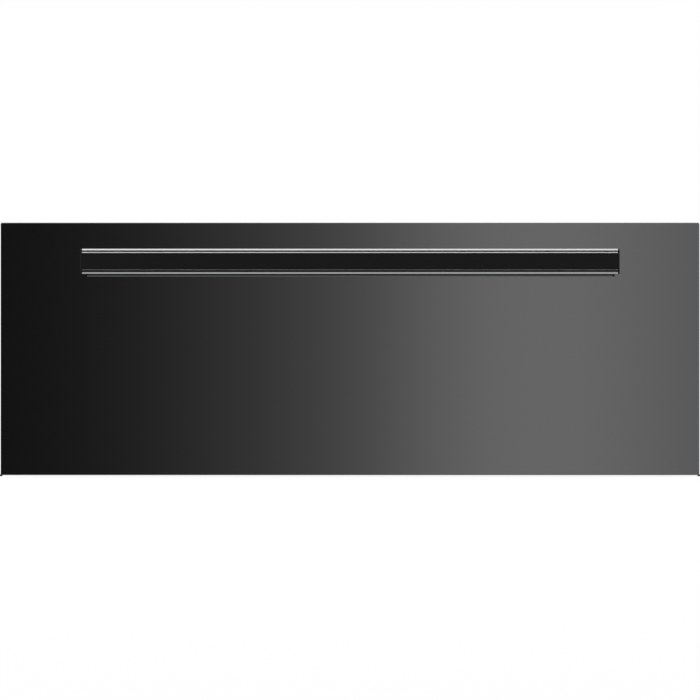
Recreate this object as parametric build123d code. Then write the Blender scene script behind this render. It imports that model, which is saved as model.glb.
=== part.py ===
from build123d import *
import math
import os

# Built in warming drawer, millimetres, +Z up. The glass front faces -Y.
# The origin is the middle of the whole drawer's footprint, on the shelf that it stands on.

# ---- Driving dimensions -------------------------------------------------------------------------

# Glass front
front_width = 755.65
front_height = 273.05
glass_thickness = 5.0
glass_corner_radius = 2.0
glass_edge_chamfer = 0.5
front_clearance_below = 1.7      # from the shelf to the lower edge of the glass
front_thickness = 43.0           # from the face of the glass to the face of the cabinet

# Clips under the lower corners of the glass
clip_overhang = 1.3              # how far the nub stands out past the glass
clip_nub_height = 2.3
clip_nub_lap = 1.5
clip_nub_cut = 0.5
clip_setback = 0.5               # from the side edge of the glass to the hidden arms
clip_size = 24.0
clip_thickness = 3.0

# Handle
handle_length = 576.8
handle_height = 26.9
handle_depth = 14.0
handle_projection = 45.0         # from the face of the glass to the face of the bar
handle_drop = 43.6               # from the top edge of the glass to the middle of the bar
handle_corner_radius = 2.0
handle_lip = 2.1
handle_groove = 1.0
handle_rib = 1.3
handle_groove_depth = 2.2
handle_rib_bevel = 0.8
handle_wall = 1.8
insert_thickness = 2.4
insert_recess = 0.4
end_cap_thickness = 1.3
end_cap_edge = 0.4
end_cap_tongue = 9.0
tongue_clearance = 0.2
post_radius = 6.5
post_waist_radius = 5.0
post_foot_length = 2.5
post_taper_length = 6.0          # from the foot to the waist
post_inset = 45.0                # from the end of the bar to the middle of the post
bolt_radius = 2.5
bolt_head_radius = 4.5
bolt_head_height = 3.0
bolt_head_edge = 0.6
bolt_socket_radius = 2.25
bolt_socket_depth = 2.0
bolt_tip_gap = 0.3
thread_clearance = 0.02
shank_side_count = 8             # screws and bolts are drawn with flats along their shanks
small_round_flats = 16           # small round pieces are drawn with flats, to keep the part light
slot_nut_width = 11.0
slot_nut_thickness = 3.0
slot_nut_clearance = 0.4
slot_depth_clearance = 0.6
slot_mouth_clearance = 0.7

# Front body behind the glass
shell_inset = 4.0                # glass edge to shell side
shell_gauge = 1.0
shell_corner_radius = 4.0
front_liner_gauge = 0.8
front_liner_lip = 8.0
front_liner_clearance = 0.2
front_pad_clearance = 3.0
gasket_width = 8.0
gasket_depth = 7.7
gasket_nose = 2.8
gasket_offset = 5.0              # cavity opening to the gasket's inner edge
gasket_corner_radius = 6.0
gasket_gap = 0.3

# Control strip on the top edge of the front
fascia_length = 252.0
fascia_width = 20.0
fascia_cover = 1.2
fascia_corner_radius = 3.0
fascia_edge = 0.8
fascia_gap = 0.5                 # from the shell's face to the strip
fascia_body_depth = 4.0
fascia_flange = 3.0
fascia_leg = 5.0
key_names = ("key_off", "key_low", "key_medium", "key_high")
key_pitch = 52.0
key_length = 16.0
key_width = 9.0
key_corner_cut = 1.2
key_edge = 0.5
key_rise = 1.2
key_travel = 0.6
key_flange = 1.3
key_flange_thickness = 1.2
key_clearance = 0.3
lens_length = 4.0
lens_width = 1.8
lens_rise = 0.2
lens_gap = 6.0                   # from the end of a key to its lens
board_thickness = 1.6
switch_size = 6.0
switch_height = 4.0
switch_gap = 0.2

# Moisture vent in the inner side of the front
vent_slot_count = 7
vent_slot_pitch = 20.0
vent_slot_length = 8.0
vent_slot_height = 5.0
vent_plate_thickness = 1.0
vent_plate_height = 12.0
vent_travel = 10.0
vent_clearance = 0.3
vent_guide_gauge = 0.8
vent_guide_lap = 1.5
vent_knob_length = 16.0
vent_knob_height = 6.0
vent_knob_depth = 9.0
vent_knob_neck = 4.0
vent_knob_edge = 1.2
vent_stem_clearance = 0.5
outlet_count = 4
outlet_pitch = 44.0
outlet_length = 30.0
outlet_width = 6.0

# Cabinet
chassis_width = 717.5
chassis_depth = 560.0
casing_gauge = 1.0
casing_flange = 12.0
casing_bend = 1.6
casing_tuck = 0.1                # clearance between sheets that slip inside each other
flange_gap = 1.0
runner_depth = 3.0
runner_width = 26.0
runner_setback = 62.0
runner_spacing = 250.0
rib_width = 30.0
rib_depth = 1.5
rib_setback = 70.0
rib_spacing = 360.0
pressed_corner_cut = 7.0
pressed_edge = 1.0
frame_gauge = 1.2
frame_overlap = 15.0             # flange beyond the casing, on the face of the cabinet
frame_collar = 10.0
frame_corner_radius = 6.0
frame_outer_radius = 3.0
collar_corner_cut = 3.0
frame_hole_radius = 2.25
frame_hole_inset = 5.5
frame_hole_spacing = 150.0
louvre_width = 4.0
louvre_pitch = 12.0
side_louvre_length = 33.0
side_louvre_count = 7
side_louvre_inset = 8.0
top_louvre_length = 28.0
top_louvre_count = 11
rear_louvre_length = 26.0
rear_louvre_count = 9
rear_louvre_rows = 2
rear_louvre_drop = 26.0
louvre_column_pitch = 40.0

# Cavity
liner_gauge = 0.8
insulation_thickness = 20.0
insulation_corner_radius = 12.0
insulation_front_gap = 2.0
wrap_clearance = 1.9
pan_headroom = 24.15             # from the pan's rim to the ceiling of the cavity

# Telescopic slides: roll formed members on bearing balls
slide_length = 480.0
slide_front_setback = 6.0
slide_rear_gap = 9.0
slide_gauge = 1.2
ball_radius = 2.38
race_clearance = 0.05
ball_row_height = 18.6           # slide centre line to the outer row of balls
race_tangent_deg = 30.0          # where the middle member's two races meet
outer_lip_deg = 25.0             # where the outer member's lip ends beside the ball
middle_foot_deg = 262.0          # where the middle member's outer race joins its web
middle_lip_deg = 30.0            # where the middle member's inner race ends
inner_lip_deg = 235.0            # where the inner member's lip ends beside the ball
middle_web_gap = 2.6             # from the cavity wall to the middle member's web
drawer_travel = 420.0
cage_gauge = 0.6
cage_length = 250.0
cage_start = 115.0
cage_outer_web_gap = 1.6
cage_inner_web_gap = 4.6
cage_outer_tab = 1.9             # how far a tab reaches past the middle of its balls
cage_inner_tab = 1.4
cage_inner_drop = 1.65
balls_in_row = 4
ball_pitch = 70.0
ball_flats = 6
ball_belt_deg = 22.0             # where the flats round the middle of a ball end
ball_cap_deg = 62.0              # where the flat at its top begins
ball_pocket_clearance = 0.1

# Slide release lever
lever_pin_radius = 2.2
lever_pin_head = 0.8
lever_pin_head_lap = 1.2
lever_pin_head_gap = 0.3
lever_web_gap = 0.4
pin_clearance = 0.06
lever_width = 6.0
lever_thickness = 3.0
lever_hub_radius = 4.4
lever_hook_reach = 24.0          # pin to the hook behind it
lever_hook_length = 5.5
lever_hook_drop = 6.0
lever_finger_reach = 38.0        # pin to the front end of the finger pad
lever_finger_length = 13.0
lever_finger_rise = 1.7
stop_tab_height = 4.0
stop_tab_gap = 2.0
stop_tab_setback = 1.0

# Drawer pan and what carries it
pan_gauge = 1.0
pan_height = 136.0
pan_length = 463.0
pan_corner_radius = 38.0
pan_rim_corner_radius = 19.0
pan_floor_radius = 14.0
pan_floor_steps = 3              # flats round the radius of the floor
pan_draft = 3.0
pan_rim = 16.0
pan_front_setback = 1.0
rail_gauge = 1.2
rail_bend = 2.0
rail_height = 56.0
rail_shelf = 19.0
rail_toe = 8.0
rail_tab_margin = 4.0
angle_height = 26.0
angle_shelf_gap = 3.0            # from the edge of an angle's shelf to the body of the pan
rim_clearance = 3.0
slide_below_rim = 38.0

# Wire rack
rack_wire_radius = 2.5
rack_bar_radius = 1.6
rack_clearance = 14.0
rack_rise = 11.0
rack_bar_count = 11
rack_corner_radius = 30.0
rack_seat_gap = 0.3
rack_weld = 0.6                  # how far a bar is pressed into the ring when it is welded
rack_bar_overhang = 1.0
rack_foot_inset = 70.0
rack_foot_width = 24.0
wire_flats = 6

# Heating element
element_radius = 3.25
element_height = 11.0            # liner floor to the middle of the tube
element_bend = 28.0
element_half_width = 258.0
element_gap_half_width = 92.0
element_front = 50.0
element_rear = 40.0
element_loop_setback = 120.0     # from the rear runs to the back of the middle loop
element_lead = 6.0               # how far the tube reaches out of the rear insulation
element_terminal_spacing = 60.0
element_to_pan = 11.0
terminal_width = 6.3
terminal_gauge = 0.8
terminal_length = 11.0
strap_gauge = 0.8
strap_clearance = 0.3
strap_width = 12.0
strap_foot = 9.0
strap_offset = 40.0

# Rear services
supply_box_width = 112.0
supply_box_height = 82.0
supply_box_depth = 35.0
supply_box_offset = 250.0
supply_box_rise = 30.0
supply_box_corner_cut = 2.5
supply_box_edge = 1.5
supply_gauge = 1.2
supply_ear = 11.0
supply_ear_height = 24.0
supply_window_width = 40.0
supply_window_height = 28.0
knockout_radius = 11.1
module_width = 190.0
module_height = 112.0
module_depth = 31.0
module_rise = 36.0
module_edge = 3.0
module_vent_count = 6
module_vent_pitch = 24.0
module_vent_length = 14.0
module_vent_width = 4.0
module_vent_depth = 2.0
module_vent_inset = 22.0
cutout_radius = 8.5
cutout_depth = 13.0
cutout_edge = 1.0
cutout_blade_spacing = 8.0
cutout_blade_width = 6.4
cutout_blade_length = 8.0
cutout_clearance = 1.0
probe_radius = 2.4
probe_reach = 24.0
probe_tip = 1.6
probe_tail = 4.0
probe_collar = 2.6
probe_collar_thickness = 1.0
probe_offset = 200.0
probe_height = 75.0              # liner floor to the middle of the probe
service_clearance = 2.0
screw_radius = 1.9
screw_length = 5.0
screw_head_radius = 3.6
screw_head_height = 2.2
rear_screw_low = 32.0
rear_screw_drop = 30.0
hole_clearance = 0.2
cut_margin = 1.0                 # how far a cut runs past the metal that it goes through

# ---- Derived planes -----------------------------------------------------------------------------

front_reach = handle_projection + front_thickness
rear_reach = chassis_depth + supply_box_depth
face_y = front_reach - (front_reach + rear_reach) / 2      # face of the cabinet

glass_front_y = face_y - front_thickness
glass_back_y = glass_front_y + glass_thickness
glass_bottom = front_clearance_below
glass_top = glass_bottom + front_height
handle_front_y = glass_front_y - handle_projection
handle_back_y = handle_front_y + handle_depth
handle_z = glass_top - handle_drop

frame_front_y = face_y - frame_gauge
liner_back_y = frame_front_y - gasket_gap - gasket_depth   # rear face of the front's inner liner
liner_front_y = liner_back_y - front_liner_gauge
shell_half_width = front_width / 2 - shell_inset
shell_bottom = glass_bottom + shell_inset
shell_top = glass_top - shell_inset

casing_half_width = chassis_width / 2
casing_bottom = runner_depth
casing_back_y = face_y + chassis_depth
cavity_half_width = (casing_half_width - casing_gauge - wrap_clearance
                     - insulation_thickness - liner_gauge)
cavity_floor = casing_bottom + casing_gauge + insulation_thickness + liner_gauge
cavity_depth = slide_length + slide_front_setback + slide_rear_gap
cavity_back_y = face_y + cavity_depth

element_z = cavity_floor + element_height
pan_floor = element_z + element_radius + element_to_pan
rim_underside = pan_floor + pan_height - pan_gauge
cavity_top = rim_underside + pan_gauge + pan_headroom
casing_top = cavity_top + liner_gauge + insulation_thickness + 2 * casing_gauge
slide_z = rim_underside - slide_below_rim
slide_front_y = face_y + slide_front_setback
pan_front_y = face_y + pan_front_setback
pan_back_y = pan_front_y + pan_length

pieces = {}


# ---- Shaping helpers ----------------------------------------------------------------------------

def rect(a_low, a_high, b_low, b_high, radius=0.0):
    """A flat rectangle between limits, with rounded corners if a radius is given."""
    width = a_high - a_low
    height = b_high - b_low
    middle = Pos((a_low + a_high) / 2, (b_low + b_high) / 2)
    if radius > 0:
        return middle * RectangleRounded(width, height, radius)
    return middle * Rectangle(width, height)


def cut_rect(a_low, a_high, b_low, b_high, cut):
    """A flat rectangle between limits, with its corners cut off."""
    return chamfer(rect(a_low, a_high, b_low, b_high).vertices(), cut)


def along_x(face, x_low, x_high):
    """Extrude a section drawn in (y, z) from x_low to x_high."""
    plane = Plane(origin=(x_low, 0, 0), x_dir=(0, 1, 0), z_dir=(1, 0, 0))
    return extrude(plane * face, x_high - x_low)


def along_y(face, y_low, y_high):
    """Extrude a section drawn in (x, z) from y_low to y_high."""
    plane = Plane(origin=(0, y_high, 0), x_dir=(1, 0, 0), z_dir=(0, -1, 0))
    return extrude(plane * face, y_high - y_low)


def along_z(face, z_low, z_high):
    """Extrude a section drawn in (x, y) from z_low to z_high."""
    return extrude(Plane.XY.offset(z_low) * face, z_high - z_low)


def rod_x(radius, x_low, x_high, y, z):
    """A round bar along X."""
    return along_x(Pos(y, z) * Circle(radius), x_low, x_high)


def rod_y(radius, x, y_low, y_high, z):
    """A round bar along Y."""
    return along_y(Pos(x, z) * Circle(radius), y_low, y_high)


def rod_z(radius, x, y, z_low, z_high):
    """A round bar along Z."""
    return along_z(Pos(x, y) * Circle(radius), z_low, z_high)


def box(x_low, x_high, y_low, y_high, z_low, z_high):
    """A plain block between limits."""
    return along_z(rect(x_low, x_high, y_low, y_high), z_low, z_high)


def bent_strip(points, gauge, bend):
    """The section of a sheet bent along the given middle line."""
    return trace(FilletPolyline(*points, radius=bend), line_width=gauge)


def add(name, *solids):
    """Keep a piece, or a group of like pieces, under its name."""
    whole = [solid for shape in solids for solid in shape.solids()]
    pieces[name] = whole[0] if len(whole) == 1 else Compound(children=whole)


def add_both_sides(name, *solids):
    """Keep a left piece as drawn and a right one mirrored across the middle."""
    add(name + "_left", *solids)
    add(name + "_right", *[mirror(solid, about=Plane.YZ) for solid in solids])


# ---- Glass front --------------------------------------------------------------------------------

handle_half_length = handle_length / 2
post_x = handle_half_length - post_inset
glass_face = rect(-front_width / 2, front_width / 2, glass_bottom, glass_top, glass_corner_radius)
glass = along_y(glass_face, glass_front_y, glass_back_y)
glass = chamfer(glass.faces().sort_by(Axis.Y)[0].edges(), glass_edge_chamfer)
for side in (-1, 1):
    glass -= rod_y(bolt_radius + hole_clearance, side * post_x, glass_front_y, glass_back_y, handle_z)
add("front_glass", glass)

# Clips: each stands behind a lower corner of the glass, and its nub shows past the corner
clips = []
for side in (-1, 1):
    arm_x = side * (front_width / 2 - clip_size)
    edge_x = side * (front_width / 2 - clip_setback)
    shell_x = side * shell_half_width
    nub_inner_x = side * (front_width / 2 - clip_nub_lap)
    nub_outer_x = side * (front_width / 2 + clip_overhang)
    nub_bottom = glass_bottom - clip_overhang
    outline = rect(min(arm_x, edge_x), max(arm_x, edge_x), glass_bottom + clip_setback, shell_bottom)
    outline += rect(min(shell_x, edge_x), max(shell_x, edge_x), glass_bottom, glass_bottom + clip_size)
    outline += cut_rect(min(nub_inner_x, nub_outer_x), max(nub_inner_x, nub_outer_x), nub_bottom,
                        nub_bottom + clip_nub_height, clip_nub_cut)
    clips.append(along_y(outline, glass_back_y, glass_back_y + clip_thickness))
add("glass_clips", *clips)

# ---- Handle -------------------------------------------------------------------------------------

bar_half_length = handle_half_length - end_cap_thickness
bar_low = handle_z - handle_height / 2
bar_high = handle_z + handle_height / 2
pocket_border = handle_lip + handle_groove + handle_rib
pocket_depth = insert_thickness + insert_recess
pocket_low = bar_low + pocket_border
pocket_high = bar_high - pocket_border
bar_outline = rect(handle_front_y, handle_back_y, bar_low, bar_high, handle_corner_radius)
bar_section = bar_outline - rect(handle_front_y, handle_front_y + pocket_depth, pocket_low, pocket_high)
for groove_low in (bar_low + handle_lip, bar_high - handle_lip - handle_groove):
    bar_section -= rect(handle_front_y, handle_front_y + handle_groove_depth, groove_low,
                        groove_low + handle_groove)
chamber_front = handle_front_y + pocket_depth + handle_wall
chamber_back = handle_back_y - handle_wall
nut_room = slot_nut_width / 2 + slot_nut_clearance
chambers = ((bar_low + handle_wall, handle_z - nut_room - handle_wall),
            (handle_z + nut_room + handle_wall, bar_high - handle_wall))
for low, high in chambers:
    bar_section -= rect(chamber_front, chamber_back, low, high)
slot_front = chamber_back - slot_nut_thickness - slot_depth_clearance
slot_mouth = bolt_radius + slot_mouth_clearance
bar_section -= rect(slot_front, chamber_back, handle_z - nut_room, handle_z + nut_room)
bar_section -= rect(chamber_back, handle_back_y, handle_z - slot_mouth, handle_z + slot_mouth)
bar = along_x(bar_section, -bar_half_length, bar_half_length)
# Each rib beside the strip is bevelled towards its groove
rib_reach = handle_height / 2 - handle_lip - handle_groove
rib_edges = [edge for edge in bar.edges().filter_by(Axis.X)
             if edge.center().Y - handle_front_y < handle_rib_bevel
             and abs(abs(edge.center().Z - handle_z) - rib_reach) < handle_groove / 2]
add("handle_bar", chamfer(rib_edges, handle_rib_bevel))

insert_section = rect(handle_front_y + insert_recess, handle_front_y + pocket_depth,
                      pocket_low, pocket_high)
add("handle_insert", along_x(insert_section, -bar_half_length, bar_half_length))

caps = []
for side in (-1, 1):
    inner_x = side * bar_half_length
    outer_x = side * handle_half_length
    tongue_x = side * (bar_half_length - end_cap_tongue)
    cap = along_x(bar_outline, min(inner_x, outer_x), max(inner_x, outer_x))
    cap = chamfer(cap.faces().sort_by(Axis.X)[0 if side < 0 else -1].edges(), end_cap_edge)
    for low, high in chambers:
        tongue = rect(chamber_front + tongue_clearance, chamber_back - tongue_clearance,
                      low + tongue_clearance, high - tongue_clearance)
        cap += along_x(tongue, min(inner_x, tongue_x), max(inner_x, tongue_x))
    caps.append(cap)
add("handle_end_caps", *caps)

# Posts: turned down to a waist between two feet, and drilled through for the bolt
shell_inner_y = glass_back_y + shell_gauge
post_length = glass_front_y - handle_back_y
post_bore = bolt_radius + hole_clearance
taper_end = post_foot_length + post_taper_length
post_outline = Polyline((post_bore, 0), (post_radius, 0), (post_radius, post_foot_length),
                        (post_waist_radius, taper_end), (post_waist_radius, post_length - taper_end),
                        (post_radius, post_length - post_foot_length), (post_radius, post_length),
                        (post_bore, post_length), close=True)
post_turned = revolve(Plane.XZ * make_face(post_outline), axis=Axis.Z)
post_left = Pos(-post_x, glass_front_y, handle_z) * Rot(90, 0, 0) * post_turned
add_both_sides("handle_post", post_left)

fixings = []
for side in (-1, 1):
    x = side * post_x
    head_end = shell_inner_y + bolt_head_height
    shank = along_y(Pos(x, handle_z) * RegularPolygon(bolt_radius, shank_side_count),
                    slot_front + bolt_tip_gap, shell_inner_y)
    head = along_y(Pos(x, handle_z) * RegularPolygon(bolt_head_radius, small_round_flats),
                   shell_inner_y, head_end)
    head = chamfer(head.faces().sort_by(Axis.Y)[-1].edges(), bolt_head_edge)
    socket = along_y(Pos(x, handle_z) * RegularPolygon(bolt_socket_radius, 6),
                     head_end - bolt_socket_depth, head_end)
    fixings.append(shank + head - socket)
    nut = along_y(rect(x - slot_nut_width / 2, x + slot_nut_width / 2, handle_z - slot_nut_width / 2,
                       handle_z + slot_nut_width / 2), chamber_back - slot_nut_thickness, chamber_back)
    nut -= along_y(Pos(x, handle_z) * RegularPolygon(bolt_radius + thread_clearance, shank_side_count),
                   chamber_back - slot_nut_thickness, chamber_back)
    fixings.append(nut)
add("handle_bolts_and_nuts", *fixings)

# ---- Shell, liner and insulation of the front ---------------------------------------------------

shell_outer = rect(-shell_half_width, shell_half_width, shell_bottom, shell_top, shell_corner_radius)
shell_room = rect(-shell_half_width + shell_gauge, shell_half_width - shell_gauge,
                  shell_bottom + shell_gauge, shell_top - shell_gauge,
                  shell_corner_radius - shell_gauge)
shell = along_y(shell_outer, glass_back_y, liner_front_y)
shell -= along_y(shell_room, shell_inner_y, liner_front_y)
for side in (-1, 1):
    shell -= rod_y(bolt_radius + hole_clearance, side * post_x, glass_back_y, shell_inner_y, handle_z)
fascia_y = shell_inner_y + fascia_width / 2 + fascia_gap
window = rect(-fascia_length / 2 + fascia_flange, fascia_length / 2 - fascia_flange,
              fascia_y - fascia_width / 2 + fascia_flange, fascia_y + fascia_width / 2 - fascia_flange)
shell -= along_z(window, shell_top - shell_gauge, shell_top)
# Outlets of the moisture vent, in the top of the shell on both sides of the control strip
for side in (-1, 1):
    for index in range(outlet_count):
        x = side * (fascia_length / 2 + outlet_pitch * (index + 1))
        outlet = rect(x - outlet_length / 2, x + outlet_length / 2, fascia_y - outlet_width / 2,
                      fascia_y + outlet_width / 2)
        shell -= along_z(outlet, shell_top - shell_gauge, shell_top)
add("front_shell", shell)

vent_z = (rim_underside + pan_gauge + cavity_top) / 2
lip_inset = shell_gauge + front_liner_clearance
lip_outer = rect(-shell_half_width + lip_inset, shell_half_width - lip_inset, shell_bottom + lip_inset,
                 shell_top - lip_inset, shell_corner_radius - shell_gauge)
room_inset = lip_inset + front_liner_gauge
lip_room = rect(-shell_half_width + room_inset, shell_half_width - room_inset, shell_bottom + room_inset,
                shell_top - room_inset, shell_corner_radius - shell_gauge - front_liner_gauge)
liner = along_y(shell_outer, liner_front_y, liner_back_y)
liner += along_y(lip_outer, liner_front_y - front_liner_lip, liner_front_y)
liner -= along_y(lip_room, liner_front_y - front_liner_lip, liner_front_y)
vent_slots = []
for index in range(vent_slot_count):
    x = (index - (vent_slot_count - 1) / 2) * vent_slot_pitch
    vent_slots.append(rect(x - vent_slot_length / 2, x + vent_slot_length / 2,
                           vent_z - vent_slot_height / 2, vent_z + vent_slot_height / 2))
for slot in vent_slots:
    liner -= along_y(slot, liner_front_y, liner_back_y)
# Guides pressed out of the liner hold the vent shutter by its long edges
guide_half_length = vent_slot_count * vent_slot_pitch / 2 + vent_travel
guide_lip_y = liner_back_y + 2 * vent_clearance + vent_plate_thickness
for direction in (-1, 1):
    edge = vent_z + direction * (vent_plate_height / 2 + vent_clearance)
    outer = edge + direction * vent_guide_gauge
    inner = edge - direction * (vent_guide_lap + vent_clearance)
    web = rect(-guide_half_length, guide_half_length, min(edge, outer), max(edge, outer))
    lip = rect(-guide_half_length, guide_half_length, min(inner, outer), max(inner, outer))
    liner += along_y(web, liner_back_y, guide_lip_y)
    liner += along_y(lip, guide_lip_y, guide_lip_y + vent_guide_gauge)
add("front_liner", liner)

shutter_half_length = vent_slot_count * vent_slot_pitch / 2
shutter_y = liner_back_y + vent_clearance
shutter = along_y(rect(-shutter_half_length, shutter_half_length, vent_z - vent_plate_height / 2,
                       vent_z + vent_plate_height / 2), shutter_y, shutter_y + vent_plate_thickness)
for slot in vent_slots:
    shutter -= along_y(slot, shutter_y, shutter_y + vent_plate_thickness)
knob_x = vent_slot_pitch / 2
knob_low = vent_z - vent_knob_height / 2
knob_high = vent_z + vent_knob_height / 2
knob_end_y = shutter_y + vent_knob_depth
stem_half = (vent_slot_pitch - vent_slot_length) / 2 - vent_stem_clearance
knob_stem = box(knob_x - stem_half, knob_x + stem_half, shutter_y, knob_end_y, knob_low, knob_high)
knob_grip = box(knob_x - vent_knob_length / 2, knob_x + vent_knob_length / 2,
                shutter_y + vent_knob_neck, knob_end_y, knob_low, knob_high)
knob_grip = chamfer(knob_grip.faces().sort_by(Axis.Y)[-1].edges(), vent_knob_edge)
add("vent_shutter", shutter + knob_stem + knob_grip)

pad_inset = shell_gauge + front_pad_clearance
add("front_insulation", box(-shell_half_width + pad_inset, shell_half_width - pad_inset, shell_inner_y,
                            liner_front_y, shell_bottom + pad_inset, vent_z - vent_plate_height))

# Gasket: one moulded loop whose nose is narrower than its root
gasket_room_half = cavity_half_width + gasket_offset
gasket_room_low = cavity_floor - gasket_offset
gasket_room_high = cavity_top + gasket_offset
gasket_section = rect(-gasket_room_half - gasket_width, gasket_room_half + gasket_width,
                      gasket_room_low - gasket_width, gasket_room_high + gasket_width,
                      gasket_corner_radius + gasket_width)
gasket_section -= rect(-gasket_room_half, gasket_room_half, gasket_room_low, gasket_room_high,
                       gasket_corner_radius)
gasket = along_y(gasket_section, liner_back_y, liner_back_y + gasket_depth)
gasket = chamfer(gasket.faces().sort_by(Axis.Y)[-1].edges(), gasket_nose)
add("front_gasket", gasket)

# ---- Control strip: fascia, keys, lenses and key board ------------------------------------------

fascia_half = fascia_length / 2
fascia_low_y = fascia_y - fascia_width / 2
fascia_high_y = fascia_y + fascia_width / 2
fascia_top = shell_top + fascia_cover
fascia_bottom = shell_top - fascia_body_depth
body_inset = fascia_flange + hole_clearance
body_half = fascia_half - body_inset
body_low_y = fascia_low_y + body_inset
body_high_y = fascia_high_y - body_inset
key_base_top = fascia_bottom - key_clearance
key_base_bottom = key_base_top - key_flange_thickness
switch_top = key_base_bottom - key_travel - switch_gap
board_top = switch_top - switch_height
fascia = along_z(rect(-fascia_half, fascia_half, fascia_low_y, fascia_high_y, fascia_corner_radius),
                 shell_top, fascia_top)
fascia = chamfer(fascia.faces().sort_by(Axis.Z)[-1].edges(), fascia_edge)
fascia += box(-body_half, body_half, body_low_y, body_high_y, fascia_bottom, shell_top)
for side in (-1, 1):
    inner = side * (body_half - fascia_leg)
    outer = side * body_half
    fascia += box(min(inner, outer), max(inner, outer), body_low_y, body_high_y, board_top, fascia_bottom)
lens_offset = key_length / 2 + lens_gap + lens_length / 2
board = box(-body_half, body_half, body_low_y, body_high_y, board_top - board_thickness, board_top)
lenses = []
for index, name in enumerate(key_names):
    x = (index - (len(key_names) - 1) / 2) * key_pitch - lens_offset / 2
    key_low_x = x - key_length / 2
    key_high_x = x + key_length / 2
    key_low_y = fascia_y - key_width / 2
    key_high_y = fascia_y + key_width / 2
    well = cut_rect(key_low_x - key_clearance, key_high_x + key_clearance, key_low_y - key_clearance,
                    key_high_y + key_clearance, key_corner_cut + key_clearance / 2)
    fascia -= along_z(well, fascia_bottom, fascia_top)
    cap = along_z(cut_rect(key_low_x, key_high_x, key_low_y, key_high_y, key_corner_cut), key_base_top,
                  fascia_top + key_rise)
    cap = chamfer(cap.faces().sort_by(Axis.Z)[-1].edges(), key_edge)
    base = box(key_low_x - key_flange, key_high_x + key_flange, key_low_y - key_flange,
               key_high_y + key_flange, key_base_bottom, key_base_top)
    add(name, cap + base)
    lens_outline = rect(x + lens_offset - lens_length / 2, x + lens_offset + lens_length / 2,
                        fascia_y - lens_width / 2, fascia_y + lens_width / 2)
    fascia -= along_z(lens_outline, fascia_bottom, fascia_top)
    lenses.append(along_z(lens_outline, fascia_bottom, fascia_top + lens_rise))
    board += box(x - switch_size / 2, x + switch_size / 2, fascia_y - switch_size / 2,
                 fascia_y + switch_size / 2, board_top, switch_top)
add("control_fascia", fascia)
add("indicator_lenses", *lenses)
add("key_board", board)

# ---- Casing -------------------------------------------------------------------------------------

half_gauge = casing_gauge / 2
panel_back_y = casing_back_y - casing_gauge
side_mid = casing_half_width - half_gauge


def pressed_rib(x, width, depth, setback):
    """A rib pressed out of sheet lying below z = 0: the metal that it adds, and its hollow."""
    rib_outline = cut_rect(x - width / 2, x + width / 2, face_y + setback, casing_back_y - setback,
                           pressed_corner_cut)
    metal = along_z(rib_outline, -half_gauge, depth)
    metal = chamfer(metal.faces().sort_by(Axis.Z)[-1].edges(), pressed_edge)
    hollow_outline = offset(rib_outline, -casing_gauge, kind=Kind.INTERSECTION)
    return metal, along_z(hollow_outline, -casing_gauge, depth - casing_gauge)


# Base pan: sheet with turned up sides, standing on three runners that are pressed out of it
up_mid = casing_half_width - casing_gauge - casing_tuck - half_gauge
base_mid = casing_bottom + half_gauge
flange_top = base_mid + casing_flange
base_section = bent_strip(((-up_mid, flange_top), (-up_mid, base_mid), (up_mid, base_mid),
                           (up_mid, flange_top)), casing_gauge, casing_bend)
for side in (-1, 1):
    edge = side * casing_half_width
    inner = side * (up_mid - casing_bend)
    base_section += rect(min(edge, inner), max(edge, inner), casing_bottom,
                         casing_bottom + casing_gauge)
base_pan = along_y(base_section, face_y, panel_back_y)
for x in (-runner_spacing, 0, runner_spacing):
    for solid, grows in zip(pressed_rib(x, runner_width, runner_depth, runner_setback), (True, False)):
        turned = Pos(0, 0, casing_bottom) * mirror(solid, about=Plane.XY)
        base_pan = base_pan + turned if grows else base_pan - turned
add("base_pan", base_pan)

# Side panels: top edge and rear edge turned in, louvres towards the rear
side_low = casing_bottom + casing_gauge
side_high = casing_top - casing_gauge
side_section = bent_strip(((-side_mid, side_low), (-side_mid, side_high - half_gauge),
                           (-side_mid + casing_flange, side_high - half_gauge)), casing_gauge,
                          casing_bend)
side_panel = along_y(side_section, face_y, panel_back_y)
side_panel += box(-side_mid, -side_mid + casing_flange, panel_back_y - casing_gauge, panel_back_y,
                  flange_top + flange_gap, side_high - casing_gauge - casing_bend)
louvre_end_y = panel_back_y - side_louvre_inset
for index in range(side_louvre_count):
    z = slide_z + (index - (side_louvre_count - 1) / 2) * louvre_pitch
    side_panel -= box(-casing_half_width - cut_margin, -casing_half_width + casing_gauge + cut_margin,
                      louvre_end_y - side_louvre_length, louvre_end_y, z - louvre_width / 2,
                      z + louvre_width / 2)
add_both_sides("side_panel", side_panel)

# Top panel: flat, with two stiffening ribs and a row of louvres over the service space
insulation_back_y = cavity_back_y + liner_gauge + insulation_thickness
service_mid_y = (insulation_back_y + panel_back_y) / 2
top_panel = box(-casing_half_width, casing_half_width, face_y, panel_back_y, casing_top - casing_gauge,
                casing_top)
for x in (-rib_spacing / 2, rib_spacing / 2):
    metal, hollow = pressed_rib(x, rib_width, rib_depth, rib_setback)
    top_panel = top_panel + Pos(0, 0, casing_top) * metal - Pos(0, 0, casing_top) * hollow
for index in range(top_louvre_count):
    x = (index - (top_louvre_count - 1) / 2) * louvre_column_pitch
    top_panel -= box(x - louvre_width / 2, x + louvre_width / 2, service_mid_y - top_louvre_length / 2,
                     service_mid_y + top_louvre_length / 2, casing_top - casing_gauge, casing_top)
add("top_panel", top_panel)

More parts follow.
